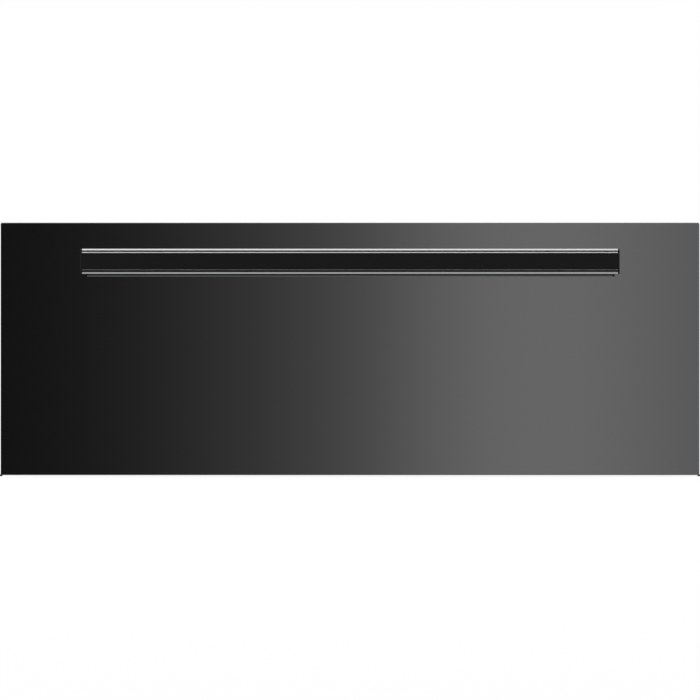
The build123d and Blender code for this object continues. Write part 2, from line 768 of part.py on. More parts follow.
# Rear panel: closes the casing, with louvres, a window into the supply box and screw holes
supply_z = casing_bottom + supply_box_height / 2 + supply_box_rise
rear_panel = box(-casing_half_width, casing_half_width, panel_back_y, casing_back_y, casing_bottom,
                 casing_top)
rear_panel -= box(supply_box_offset - supply_window_width / 2, supply_box_offset + supply_window_width / 2,
                  panel_back_y, casing_back_y, supply_z - supply_window_height / 2,
                  supply_z + supply_window_height / 2)
for row in range(rear_louvre_rows):
    z = casing_top - rear_louvre_drop - row * louvre_pitch
    for index in range(rear_louvre_count):
        x = (index - (rear_louvre_count - 1) / 2) * louvre_column_pitch
        rear_panel -= box(x - rear_louvre_length / 2, x + rear_louvre_length / 2, panel_back_y,
                          casing_back_y, z - louvre_width / 2, z + louvre_width / 2)


def casing_screw(x, z, seat_y, length):
    """A hexagon headed screw, whose head stands on a seat that faces the rear."""
    head = along_y(Pos(x, z) * RegularPolygon(screw_head_radius, 6), seat_y, seat_y + screw_head_height)
    shank = along_y(Pos(x, z) * RegularPolygon(screw_radius, shank_side_count), seat_y - length, seat_y)
    return head + shank


rear_screw_x = casing_half_width - casing_gauge - casing_flange / 2
casing_screws = []
for side, name in ((-1, "side_panel_left"), (1, "side_panel_right")):
    for z in (casing_bottom + rear_screw_low, casing_top - rear_screw_drop):
        x = side * rear_screw_x
        hole = rod_y(screw_radius + hole_clearance, x, panel_back_y - casing_gauge, casing_back_y, z)
        rear_panel -= hole
        pieces[name] -= hole
        casing_screws.append(casing_screw(x, z, casing_back_y, screw_length))
add("rear_panel", rear_panel)

# Supply box on the rear, with a round knock-out for the conduit and an ear on each side
box_low_x = supply_box_offset - supply_box_width / 2
box_high_x = supply_box_offset + supply_box_width / 2
box_low_z = supply_z - supply_box_height / 2
box_high_z = supply_z + supply_box_height / 2
box_back_y = casing_back_y + supply_box_depth
ear_back_y = casing_back_y + supply_gauge
box_outline = cut_rect(box_low_x, box_high_x, box_low_z, box_high_z, supply_box_corner_cut)
box_room = offset(box_outline, -supply_gauge, kind=Kind.INTERSECTION)
supply_box = along_y(box_outline, casing_back_y, box_back_y)
supply_box = chamfer(supply_box.faces().sort_by(Axis.Y)[-1].edges(), supply_box_edge)
supply_box -= along_y(box_room, casing_back_y, box_back_y - supply_gauge)
knockout_x = supply_box_offset + supply_box_width / 4
supply_box -= rod_y(knockout_radius, knockout_x, box_back_y - supply_gauge, box_back_y, supply_z)
for wall_x, outward in ((box_low_x, -1), (box_high_x, 1)):
    ear_x = wall_x + outward * supply_ear
    inside_x = wall_x - outward * supply_gauge
    screw_x = wall_x + outward * supply_ear / 2
    ear_plate = box(min(inside_x, ear_x), max(inside_x, ear_x), casing_back_y, ear_back_y,
                    supply_z - supply_ear_height / 2, supply_z + supply_ear_height / 2)
    supply_box += ear_plate - rod_y(screw_radius + hole_clearance, screw_x, casing_back_y, ear_back_y,
                                    supply_z)
    casing_screws.append(casing_screw(screw_x, supply_z, ear_back_y, supply_gauge))
add("supply_box", supply_box)
add("casing_screws", *casing_screws)

# Front frame: flange on the face of the cabinet, collar inside the casing
opening = rect(-cavity_half_width, cavity_half_width, cavity_floor, cavity_top, frame_corner_radius)
flange_half = casing_half_width + frame_overlap
frame = along_y(rect(-flange_half, flange_half, casing_bottom, casing_top + frame_overlap,
                     frame_outer_radius), frame_front_y, face_y)
collar_half = casing_half_width - 2 * (casing_gauge + casing_tuck)
collar_low = casing_bottom + casing_gauge
collar_high = casing_top - 2 * casing_gauge
collar_section = cut_rect(-collar_half, collar_half, collar_low, collar_high, collar_corner_cut)
collar_section -= offset(collar_section, -frame_gauge, kind=Kind.INTERSECTION)
frame += along_y(collar_section, face_y, face_y + frame_collar)
frame -= along_y(opening, frame_front_y, face_y)
frame_hole_x = flange_half - frame_hole_inset
frame_hole_mid_z = (casing_bottom + casing_top) / 2
for side in (-1, 1):
    for direction in (-1, 1):
        frame -= rod_y(frame_hole_radius, side * frame_hole_x, frame_front_y, face_y,
                       frame_hole_mid_z + direction * frame_hole_spacing / 2)
add("front_frame", frame)

# ---- Cavity liner and insulation ----------------------------------------------------------------

terminal_x = element_terminal_spacing / 2
probe_z = cavity_floor + probe_height
service_holes = [(terminal_x, element_z, element_radius + hole_clearance),
                 (-terminal_x, element_z, element_radius + hole_clearance),
                 (probe_offset, probe_z, probe_radius + hole_clearance)]
liner_outer = cavity_half_width + liner_gauge
liner_end_y = cavity_back_y + liner_gauge
add("liner_floor", box(-liner_outer, liner_outer, face_y, liner_end_y, cavity_floor - liner_gauge,
                       cavity_floor))
add_both_sides("liner_side", box(-liner_outer, -cavity_half_width, face_y, cavity_back_y, cavity_floor,
                                 cavity_top))
add("liner_ceiling", box(-liner_outer, liner_outer, face_y, liner_end_y, cavity_top,
                         cavity_top + liner_gauge))
liner_rear = box(-liner_outer, liner_outer, cavity_back_y, liner_end_y, cavity_floor, cavity_top)
for x, z, radius in service_holes:
    liner_rear -= rod_y(radius, x, cavity_back_y, liner_end_y, z)
add("liner_rear", liner_rear)

wrap_front_y = face_y + frame_collar + insulation_front_gap
wrap_outer = liner_outer + insulation_thickness
wrap_section = rect(-wrap_outer, wrap_outer, casing_bottom + casing_gauge,
                    casing_top - 2 * casing_gauge, insulation_corner_radius)
wrap_section -= rect(-liner_outer, liner_outer, cavity_floor - liner_gauge, cavity_top + liner_gauge)
add("insulation_wrap", along_y(wrap_section, wrap_front_y, insulation_back_y))

rear_pad = box(-liner_outer, liner_outer, liner_end_y, insulation_back_y, cavity_floor - liner_gauge,
               cavity_top + liner_gauge)
for x, z, radius in service_holes:
    rear_pad -= along_y(Pos(x, z) * RegularPolygon(radius + service_clearance, wire_flats),
                        liner_end_y, insulation_back_y)
cutout_x = -probe_offset
rear_pad -= rod_y(cutout_radius + cutout_clearance, cutout_x, liner_end_y, insulation_back_y, probe_z)
add("insulation_rear", rear_pad)

# ---- Heating element, probe, thermal cut-out and control module ---------------------------------

element_rear_y = cavity_back_y - element_rear
element_front_y = face_y + element_front
element_back_bend_y = element_rear_y - element_loop_setback
element_end_y = insulation_back_y + element_lead
element_line = FilletPolyline(
    (-terminal_x, element_end_y, element_z), (-terminal_x, element_rear_y, element_z),
    (-element_half_width, element_rear_y, element_z), (-element_half_width, element_front_y, element_z),
    (-element_gap_half_width, element_front_y, element_z),
    (-element_gap_half_width, element_back_bend_y, element_z),
    (element_gap_half_width, element_back_bend_y, element_z),
    (element_gap_half_width, element_front_y, element_z),
    (element_half_width, element_front_y, element_z), (element_half_width, element_rear_y, element_z),
    (terminal_x, element_rear_y, element_z), (terminal_x, element_end_y, element_z),
    radius=element_bend)
element_start = Plane(origin=element_line @ 0, z_dir=element_line % 0)
element = sweep(element_start * RegularPolygon(element_radius, wire_flats), path=element_line)
for side in (-1, 1):
    x = side * terminal_x
    element += box(x - terminal_width / 2, x + terminal_width / 2, element_end_y,
                   element_end_y + terminal_length, element_z - terminal_gauge / 2,
                   element_z + terminal_gauge / 2)
add("heating_element", element)

# Element clips: a ring of strap round the tube, standing on two feet
strap_inner = element_radius + strap_clearance
strap_outer = strap_inner + strap_gauge
strap_mid_y = (element_front_y + element_rear_y) / 2 - strap_offset
strap_turn = 180 / wire_flats
straps = []
for x in (-element_half_width, -element_gap_half_width, element_gap_half_width, element_half_width):
    strap_section = Pos(x, element_z) * (
        RegularPolygon(strap_outer, wire_flats, major_radius=False, rotation=strap_turn)
        - RegularPolygon(strap_inner, wire_flats, major_radius=False, rotation=strap_turn))
    for direction in (-1, 1):
        inner = x + direction * strap_inner
        outer = x + direction * strap_outer
        toe = x + direction * (strap_outer + strap_foot)
        strap_section += rect(min(inner, outer), max(inner, outer), cavity_floor, element_z)
        strap_section += rect(min(inner, toe), max(inner, toe), cavity_floor, cavity_floor + strap_gauge)
    straps.append(along_y(strap_section, strap_mid_y - strap_width / 2, strap_mid_y + strap_width / 2))
add("element_clips", *straps)

probe_place = Pos(probe_offset, probe_z)
probe = along_y(probe_place * RegularPolygon(probe_radius, small_round_flats),
                cavity_back_y - probe_reach, insulation_back_y + probe_tail)
probe = chamfer(probe.faces().sort_by(Axis.Y)[0].edges(), probe_tip)
probe += along_y(probe_place * RegularPolygon(probe_radius + probe_collar, small_round_flats),
                 cavity_back_y - probe_collar_thickness, cavity_back_y)
add("temperature_probe", probe)

cutout_end_y = liner_end_y + cutout_depth
cutout = along_y(Pos(cutout_x, probe_z) * RegularPolygon(cutout_radius, small_round_flats),
                 liner_end_y, cutout_end_y)
cutout = chamfer(cutout.faces().sort_by(Axis.Y)[-1].edges(), cutout_edge)
for side in (-1, 1):
    x = cutout_x + side * cutout_blade_spacing / 2
    cutout += box(x - terminal_gauge / 2, x + terminal_gauge / 2, cutout_end_y,
                  cutout_end_y + cutout_blade_length, probe_z - cutout_blade_width / 2,
                  probe_z + cutout_blade_width / 2)
add("thermal_cutout", cutout)

module_low = casing_bottom + module_rise
module_high = module_low + module_height
module_front_y = panel_back_y - module_depth
module = box(-module_width / 2, module_width / 2, module_front_y, panel_back_y, module_low, module_high)
module = chamfer(module.faces().sort_by(Axis.Y)[0].edges(), module_edge)
vent_low = module_low + module_vent_inset
for index in range(module_vent_count):
    x = (index - (module_vent_count - 1) / 2) * module_vent_pitch
    module -= box(x - module_vent_length / 2, x + module_vent_length / 2, module_front_y,
                  module_front_y + module_vent_depth, vent_low, vent_low + module_vent_width)
add("control_module", module)

# ---- Telescopic slides --------------------------------------------------------------------------
# Sections are drawn for the left slide: u runs from the cavity wall towards the drawer,
# v runs up from the slide's centre line.

race_inner = ball_radius + race_clearance
race_outer = race_inner + slide_gauge
race_middle = race_inner + slide_gauge / 2
row_one_u = race_outer
row_one_v = ball_row_height
row_two_u = row_one_u + 2 * race_middle * math.cos(math.radians(race_tangent_deg))
row_two_v = row_one_v - 2 * race_middle * math.sin(math.radians(race_tangent_deg))
inner_web_u = row_two_u + race_inner
slide_thickness = row_two_u + race_outer


def race(u, v, start_deg, end_deg):
    """One rolled race of sheet gauge round a ball, between two angles."""
    inside = CenterArc((u, v), race_inner, start_deg, end_deg - start_deg)
    outside = CenterArc((u, v), race_outer, start_deg, end_deg - start_deg)
    return make_face([inside, outside, Line(inside @ 0, outside @ 0), Line(inside @ 1, outside @ 1)])


def upper_and_lower(section):
    """A section with its mirror image below the slide's centre line."""
    return section + mirror(section, about=Plane.XZ)


def slide_member(section, start, length):
    """A slide member from its section, placed against the left wall of the cavity."""
    placed = Pos(-cavity_half_width, slide_z) * section
    return along_y(placed, slide_front_y + start, slide_front_y + start + length)


outer_section = rect(0, slide_gauge, -row_one_v, row_one_v)
outer_section += upper_and_lower(race(row_one_u, row_one_v, outer_lip_deg, 180))
slide_outer = slide_member(outer_section, 0, slide_length)

middle_bend_v = row_one_v - race_middle
middle_section = rect(middle_web_gap, middle_web_gap + slide_gauge, -middle_bend_v, middle_bend_v)
middle_races = race(row_one_u, row_one_v, middle_foot_deg, 360 - race_tangent_deg)
middle_races += race(row_two_u, row_two_v, middle_lip_deg, 180 - race_tangent_deg)
middle_section += upper_and_lower(middle_races)
slide_middle = slide_member(middle_section, 0, slide_length)

inner_section = rect(inner_web_u, slide_thickness, -row_two_v, row_two_v)
inner_section += upper_and_lower(race(row_two_u, row_two_v, inner_lip_deg, 360))
slide_inner = slide_member(inner_section, 0, slide_length)

# Stop tab lanced from the middle member's front end, below the release lever's arm
lever_u = inner_web_u - lever_web_gap - lever_thickness
hook_low = -lever_width / 2 - lever_hook_drop
stop_tab = rect(middle_web_gap + slide_gauge / 2, lever_u + lever_thickness - stop_tab_setback,
                hook_low, hook_low + stop_tab_height)
slide_middle += slide_member(stop_tab, 0, slide_gauge)

# Pin for the lever, riveted in the inner member's web. At full travel the lever's hook stands
# just behind the stop tab, and its finger pad in front of the middle member.
pivot_y = slide_front_y + drawer_travel / 2 + slide_gauge + stop_tab_gap - lever_hook_reach
lever_low_x = -cavity_half_width + lever_u
pin_low_x = lever_low_x - lever_pin_head_gap
slide_inner += rod_x(lever_pin_radius, pin_low_x, -cavity_half_width + inner_web_u, pivot_y, slide_z)
slide_inner += rod_x(lever_pin_radius + lever_pin_head_lap, pin_low_x - lever_pin_head, pin_low_x,
                     pivot_y, slide_z)

# Release lever: a flat moulded arm with a hook behind its pin and a finger pad in front
hook_y = pivot_y + lever_hook_reach
hook_end_y = hook_y + lever_hook_length
finger_y = pivot_y - lever_finger_reach
lever_low_z = slide_z - lever_width / 2
lever_high_z = slide_z + lever_width / 2
lever_outline = rect(finger_y, hook_end_y, lever_low_z, lever_high_z)
lever_outline += Pos(pivot_y, slide_z) * Circle(lever_hub_radius)
lever_outline += rect(hook_y, hook_end_y, slide_z + hook_low, lever_high_z)
lever_outline -= Pos(pivot_y, slide_z) * Circle(lever_pin_radius + pin_clearance)
lever = along_x(lever_outline, lever_low_x, lever_low_x + lever_thickness)
lever += box(lever_low_x - lever_finger_rise, lever_low_x, finger_y, finger_y + lever_finger_length,
             lever_low_z, lever_high_z)
add_both_sides("slide_outer", slide_outer)
add_both_sides("slide_middle", slide_middle)
add_both_sides("slide_inner", slide_inner)
add_both_sides("release_lever", lever)


def bearing_ball(x, y, z):
    """A bearing ball, drawn as a belt of flats with a tapered cap on each side of it."""
    belt_radius = ball_radius * math.cos(math.radians(ball_belt_deg))
    belt_half = ball_radius * math.sin(math.radians(ball_belt_deg))
    cap_radius = ball_radius * math.cos(math.radians(ball_cap_deg))
    cap_height = ball_radius * math.sin(math.radians(ball_cap_deg)) - belt_half
    drawn_in = (belt_radius - cap_radius) * math.cos(math.pi / ball_flats)
    ring = RegularPolygon(belt_radius, ball_flats)
    cap = extrude(Plane.XY.offset(belt_half) * ring, cap_height,
                  taper=math.degrees(math.atan2(drawn_in, cap_height)))
    return Pos(x, y, z) * (along_z(ring, -belt_half, belt_half) + cap + mirror(cap, about=Plane.XY))


def ball_cage(web_u, tab_v, tab_end_u, ball_u, ball_v):
    """A comb shaped cage with the balls that it spaces, for both rows of one level."""
    section = rect(web_u, web_u + cage_gauge, 0, tab_v + cage_gauge)
    section += rect(web_u, tab_end_u, tab_v, tab_v + cage_gauge)
    cage = slide_member(upper_and_lower(section), cage_start, cage_length)
    x = -cavity_half_width + ball_u
    first_y = slide_front_y + cage_start + (cage_length - (balls_in_row - 1) * ball_pitch) / 2
    pocket = RegularPolygon(ball_radius + ball_pocket_clearance, ball_flats, major_radius=False)
    balls = []
    for index in range(balls_in_row):
        y = first_y + index * ball_pitch
        for z in (slide_z - ball_v, slide_z + ball_v):
            cage -= along_z(Pos(x, y) * pocket, z - ball_radius - cut_margin, z + ball_radius + cut_margin)
            balls.append(bearing_ball(x, y, z))
    return [cage, *balls]


add_both_sides("ball_cage_outer", *ball_cage(cage_outer_web_gap, row_one_v - cage_gauge / 2,
                                             row_one_u + cage_outer_tab, row_one_u, row_one_v))
add_both_sides("ball_cage_inner", *ball_cage(cage_inner_web_gap, row_two_v - cage_inner_drop,
                                             row_two_u + cage_inner_tab, row_two_u, row_two_v))

# ---- Drawer pan, rails and angles ---------------------------------------------------------------

rail_outer_x = cavity_half_width - slide_thickness
rail_inner_x = rail_outer_x - rail_gauge
rim_half_width = rail_inner_x - rim_clearance
body_half_x = rim_half_width - pan_rim
body_front_y = pan_front_y + pan_rim
body_back_y = pan_back_y - pan_rim
pan_mid_y = (pan_front_y + pan_back_y) / 2


def tapered_tub(inset, floor_z, floor_radius):
    """The drawn shape of the pan: it narrows downwards from its rim, and turns in to its floor."""
    top_z = rim_underside + pan_gauge
    slope = math.tan(math.radians(pan_draft))
    levels = [(top_z, inset)]
    for step in range(pan_floor_steps + 1):
        angle = math.radians(90 * step / pan_floor_steps)
        z = floor_z + floor_radius * (1 - math.sin(angle))
        turned_in = floor_radius * (1 - math.cos(angle))
        levels.append((z, inset + slope * (top_z - z) + turned_in))
    bands = []
    for (high_z, inset_above), (low_z, inset_below) in zip(levels, levels[1:]):
        outline = RectangleRounded(2 * (body_half_x - inset_above),
                                   body_back_y - body_front_y - 2 * inset_above,
                                   pan_corner_radius - inset_above)
        downwards = Plane(origin=(0, pan_mid_y, high_z), x_dir=(1, 0, 0), z_dir=(0, 0, -1))
        height = high_z - low_z
        drawn_in = math.degrees(math.atan2(inset_below - inset_above, height))
        bands.append(extrude(downwards * outline, height, taper=drawn_in))
    return sum(bands[1:], bands[0])


pan_rim_plate = along_z(rect(-rim_half_width, rim_half_width, pan_front_y, pan_back_y,
                             pan_rim_corner_radius), rim_underside, rim_underside + pan_gauge)
pan = tapered_tub(0, pan_floor, pan_floor_radius) + pan_rim_plate
pan -= tapered_tub(pan_gauge, pan_floor + pan_gauge, pan_floor_radius - pan_gauge)
add("drawer_pan", pan)

# Side rails: each carries the rim on its shelf and is riveted to the slide's inner member
rail_mid_x = rail_outer_x - rail_gauge / 2
rail_bottom = rim_underside - rail_height
shelf_mid_z = rim_underside - rail_gauge / 2
toe_mid_z = rail_bottom + rail_gauge / 2
rail_section = bent_strip(((-rail_mid_x + rail_toe, toe_mid_z), (-rail_mid_x, toe_mid_z),
                           (-rail_mid_x, shelf_mid_z), (-rail_mid_x + rail_shelf, shelf_mid_z)),
                          rail_gauge, rail_bend)
rail = along_y(rail_section, liner_back_y, pan_back_y + rail_gauge)
rail += box(-rail_mid_x, -rail_mid_x + rail_shelf, liner_back_y, liner_back_y + rail_gauge,
            rail_bottom + rail_tab_margin, rim_underside - rail_tab_margin)
add_both_sides("side_rail", rail)

# Front and rear angles carry the rim between the rails
angle_end_x = rail_mid_x - rail_shelf
front_leg_y = liner_back_y + rail_gauge / 2
front_angle = bent_strip(((front_leg_y, rim_underside - angle_height), (front_leg_y, shelf_mid_z),
                          (body_front_y - angle_shelf_gap, shelf_mid_z)), rail_gauge, rail_bend)
add("front_angle", along_x(front_angle, -angle_end_x, angle_end_x))
rear_leg_y = pan_back_y + rail_gauge / 2
rear_angle = bent_strip(((rear_leg_y, rail_bottom + rail_tab_margin), (rear_leg_y, shelf_mid_z),
                         (body_back_y + angle_shelf_gap, shelf_mid_z)), rail_gauge, rail_bend)
add("rear_angle", along_x(rear_angle, -angle_end_x, angle_end_x))

# ---- Wire rack ----------------------------------------------------------------------------------
# Every wire is drawn with flats along it, to keep the part light.

rack_seat = pan_floor + pan_gauge + rack_seat_gap
rack_z = rack_seat + rack_rise
pan_narrowing = math.tan(math.radians(pan_draft)) * (rim_underside + pan_gauge - rack_seat)
rack_inset = pan_narrowing + rack_clearance + rack_wire_radius
rack_half_x = body_half_x - rack_inset
rack_half_y = (body_back_y - body_front_y) / 2 - rack_inset
ring_outline = RectangleRounded(2 * rack_half_x, 2 * rack_half_y, rack_corner_radius)
ring_line = (Plane(origin=(0, pan_mid_y, rack_z)) * ring_outline).wire()
ring_start = Plane(origin=ring_line @ 0, z_dir=ring_line % 0)
rack = sweep(ring_start * RegularPolygon(rack_wire_radius, wire_flats), path=ring_line)
bar_z = rack_z + rack_wire_radius + rack_bar_radius - rack_weld
bar_half_y = rack_half_y + rack_bar_overhang
bar_step = 2 * (rack_half_x - rack_corner_radius) / (rack_bar_count - 1)
for index in range(rack_bar_count):
    x = -rack_half_x + rack_corner_radius + index * bar_step
    rack += along_y(Pos(x, bar_z) * RegularPolygon(rack_bar_radius, wire_flats),
                    pan_mid_y - bar_half_y, pan_mid_y + bar_half_y)
foot_z = rack_seat + rack_wire_radius
for side_x in (-1, 1):
    for side_y in (-1, 1):
        low_x = side_x * (rack_half_x - rack_foot_inset) - rack_foot_width / 2
        high_x = low_x + rack_foot_width
        y = pan_mid_y + side_y * rack_half_y
        foot_line = Polyline((low_x, y, rack_z), (low_x, y, foot_z), (high_x, y, foot_z),
                             (high_x, y, rack_z))
        foot_start = Plane(origin=foot_line @ 0, z_dir=foot_line % 0)
        rack += sweep(foot_start * RegularPolygon(rack_wire_radius, wire_flats), path=foot_line,
                      transition=Transition.RIGHT)
add("wire_rack", rack)

# ---- Write one file for each piece --------------------------------------------------------------

os.makedirs("parts", exist_ok=True)
for name, shape in pieces.items():
    export_step(shape, f"parts/{name}.step")
print(len(pieces), "pieces written")
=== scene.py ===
import bpy
import bmesh
from math import cos, pi, radians, sin, tan
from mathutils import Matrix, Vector


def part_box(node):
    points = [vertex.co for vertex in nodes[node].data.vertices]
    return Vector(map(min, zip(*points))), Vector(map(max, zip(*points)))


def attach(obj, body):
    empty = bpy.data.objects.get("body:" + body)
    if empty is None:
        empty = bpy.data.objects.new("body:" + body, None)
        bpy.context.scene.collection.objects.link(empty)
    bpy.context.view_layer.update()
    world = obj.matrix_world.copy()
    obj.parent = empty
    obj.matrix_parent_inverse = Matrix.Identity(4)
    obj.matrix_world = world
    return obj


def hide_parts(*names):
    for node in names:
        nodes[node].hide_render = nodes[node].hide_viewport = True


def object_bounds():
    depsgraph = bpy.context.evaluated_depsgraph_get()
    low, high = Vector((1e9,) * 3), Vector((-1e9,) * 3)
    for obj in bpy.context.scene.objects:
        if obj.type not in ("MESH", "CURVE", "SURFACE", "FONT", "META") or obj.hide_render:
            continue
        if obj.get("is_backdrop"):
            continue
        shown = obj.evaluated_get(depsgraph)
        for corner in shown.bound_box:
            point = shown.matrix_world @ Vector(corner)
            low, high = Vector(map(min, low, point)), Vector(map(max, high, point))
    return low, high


# A built in warming drawer, shut, seen straight on from the front, in metres.
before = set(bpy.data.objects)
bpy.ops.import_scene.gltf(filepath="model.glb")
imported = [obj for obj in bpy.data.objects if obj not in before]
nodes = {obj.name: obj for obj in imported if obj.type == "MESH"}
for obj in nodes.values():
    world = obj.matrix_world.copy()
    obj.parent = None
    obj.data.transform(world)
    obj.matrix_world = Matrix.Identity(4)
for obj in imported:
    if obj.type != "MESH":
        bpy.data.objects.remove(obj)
scene = bpy.context.scene
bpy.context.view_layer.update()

# ---- Camera
# A long lens on a level tripod, straight in front of the middle of the glass and a little lower
# than its middle. The lens is shifted up, so that the front stays a true rectangle.
glass_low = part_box("front_glass")[0]
view_width = 0.7568  # what the picture's width shows, at the face of the glass
view_distance = 4.098  # from the lens to the face of the glass
lens_height = 0.0742  # above the table, as is the middle of the picture
picture_middle = 0.1370
camera = bpy.data.cameras.new("camera")
camera.sensor_width = 36.0
camera.lens = camera.sensor_width * view_distance / view_width
camera.shift_y = (picture_middle - lens_height) / view_width
camera.clip_end = 60.0
camera_stand = bpy.data.objects.new("camera", camera)
camera_stand.location = (0.0, glass_low.y - view_distance, lens_height)
camera_stand.rotation_euler = (radians(90), 0.0, 0.0)
scene.collection.objects.link(camera_stand)
scene.camera = camera_stand
scene.view_settings.view_transform = "Standard"


# ---- Studio: table, sky, lamps and the reflected card
# A white table that runs on into a white room, lit plainly by four soft boxes. The glass is a
# mirror, so a card behind the camera gives it the slow change from dark at the left to pale at the
# right; only the mirror sees that card.
def linear(code):
    """A colour written as an sRGB hex code, as linear light with full opacity."""
    parts = [int(code[i:i + 2], 16) / 255 for i in (1, 3, 5)]
    return (*[c / 12.92 if c <= 0.04045 else ((c + 0.055) / 1.055) ** 2.4 for c in parts], 1.0)


def add_node(tree, kind, inputs=None, stops=(), **settings):
    """Add a shader node: settings are its own, inputs are values or (node, output) to link from.

    stops are a colour ramp's, as pairs of place and hex code.
    """
    new = tree.nodes.new("ShaderNode" + kind)
    for name, value in settings.items():
        setattr(new, name, value)
    for socket, value in (inputs or {}).items():
        if isinstance(value, tuple) and isinstance(value[0], bpy.types.Node):
            tree.links.new(value[0].outputs[value[1]], new.inputs[socket])
        else:
            new.inputs[socket].default_value = value
    for place, _ in stops[1:-1]:
        new.color_ramp.elements.new(place)
    for index, (place, code) in enumerate(stops):
        new.color_ramp.elements[index].position = place
        new.color_ramp.elements[index].color = linear(code)
    return new


def start_material(name):
    """A new material, its empty node tree, and the link to a point's place in the object."""
    material = bpy.data.materials.new(name)
    material.use_nodes = True
    tree = material.node_tree
    tree.nodes.clear()
    return material, tree, (add_node(tree, "TexCoord"), "Object")


def mesh_piece(name, skins, material, smooth_below=0.0):
    """A mesh object from skins of points and faces; edges below an angle in degrees are smooth."""
    points, faces = [], []
    for skin_points, skin_faces in skins:
        start = len(points)
        points.extend(skin_points)
        faces.extend([tuple(start + corner for corner in face) for face in skin_faces])
    mesh = bpy.data.meshes.new(name)
    mesh.from_pydata(points, [], faces)
    work = bmesh.new()
    work.from_mesh(mesh)
    bmesh.ops.recalc_face_normals(work, faces=work.faces)
    work.to_mesh(mesh)
    work.free()
    mesh.materials.append(material)
    if smooth_below:
        mesh.shade_smooth()
        mesh.set_sharp_from_angle(angle=radians(smooth_below))
    piece = bpy.data.objects.new(name, mesh)
    scene.collection.objects.link(piece)
    return piece


# Table: matt white paper. It shines a little to the camera alone, so that it is as white as the
# room behind it and keeps only the shadow.
table_half = 30.0
table_paper, tree, place = start_material("white table")
rays = add_node(tree, "LightPath")
grain = add_node(tree, "TexNoise", {"Vector": (place[0], "Generated"), "Scale": 3.0, "Detail": 2.0})
tint = add_node(tree, "Mix", {0: (grain, 0), 6: linear("#f4f4f4"), 7: linear("#fafafa")},
                data_type="RGBA")
matt = add_node(tree, "BsdfDiffuse", {"Color": (tint, 2)})
glow = add_node(tree, "Emission", {"Color": linear("#ffffff"), "Strength": 1.04})
share = add_node(tree, "Math", {0: (rays, "Is Camera Ray"), 1: 0.86}, operation="MULTIPLY")
mixed = add_node(tree, "MixShader", {0: (share, 0), 1: (matt, 0), 2: (glow, 0)})
add_node(tree, "OutputMaterial", {"Surface": (mixed, 0)})
square = ((-1, -1), (1, -1), (1, 1), (-1, 1))
corners = [(x * table_half, y * table_half, 0) for x, y in square]
table = mesh_piece("floor", [(corners, [(0, 1, 2, 3)])], table_paper)
table.visible_glossy = False
table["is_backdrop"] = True

room = bpy.data.worlds.new("white room")
scene.world = room
room.use_nodes = True
tree = room.node_tree
tree.nodes.clear()
rays = add_node(tree, "LightPath")
seen = add_node(tree, "Math", {0: (rays, "Is Camera Ray"), 1: (rays, "Is Transmission Ray")},
                operation="MAXIMUM")
plain = add_node(tree, "MapRange", {"Value": (seen, 0), "To Min": 0.55, "To Max": 1.0})
# What metal and glass mirror: the same white, dimmed by the dark end of the room behind the camera
# and by the floor, and the lit ground
axes = add_node(tree, "SeparateXYZ", {0: (add_node(tree, "TexCoord"), "Generated")})
front, upward = [add_node(tree, "MapRange", {"Value": (axes, axis), "From Min": dark,
                                             "From Max": bright, "To Min": 0.25, "To Max": 0.9})
                 for axis, dark, bright in (("Y", -0.55, 0.0), ("Z", -0.30, 0.10))]
walls = add_node(tree, "Math", {0: (front, 0), 1: (upward, 0)}, operation="MINIMUM")
height = add_node(tree, "MapRange", {"Value": (axes, "Z"), "From Min": -1.0, "From Max": -0.4})
ground = add_node(tree, "ValToRGB", {0: (height, 0)}, stops=(
    (0.0, "#a8a8a8"), (0.18, "#ffffff"), (0.32, "#ffffff"), (0.55, "#000000")))
mirrored = add_node(tree, "Math", {0: (walls, 0), 1: (ground, 0)}, operation="MAXIMUM")
level = add_node(tree, "Mix", {0: (rays, "Is Glossy Ray"), 2: (plain, 0), 3: (mirrored, 0)})
sky = add_node(tree, "Background", {"Color": linear("#ffffff"), "Strength": (level, 0)})
add_node(tree, "OutputWorld", {"Surface": (sky, 0)})

for name, stands_at, aims_at, width, height, power in (
        ("soft box above", (0.0, -0.35, 2.8), (0.0, 0.0, 0.1), 3.6, 3.0, 22.0),
        ("soft box left", (-2.3, -2.0, 1.5), (0.0, -0.2, 0.1), 1.2, 1.6, 14.0),
        ("soft box right", (2.3, -1.7, 1.3), (0.0, -0.2, 0.1), 1.2, 1.6, 16.0),
        ("soft box over the camera", (0.0, -3.8, 1.5), (0.0, -0.3, 0.2), 2.4, 0.7, 5.0)):
    lamp = bpy.data.lights.new(name, "AREA")
    lamp.shape = "RECTANGLE"
    lamp.size = width
    lamp.size_y = height
    lamp.energy = power
    stand = bpy.data.objects.new(name, lamp)
    stand.location = stands_at
    stand.rotation_euler = (Vector(aims_at) - Vector(stands_at)).to_track_quat("-Z", "Y").to_euler()
    scene.collection.objects.link(stand)

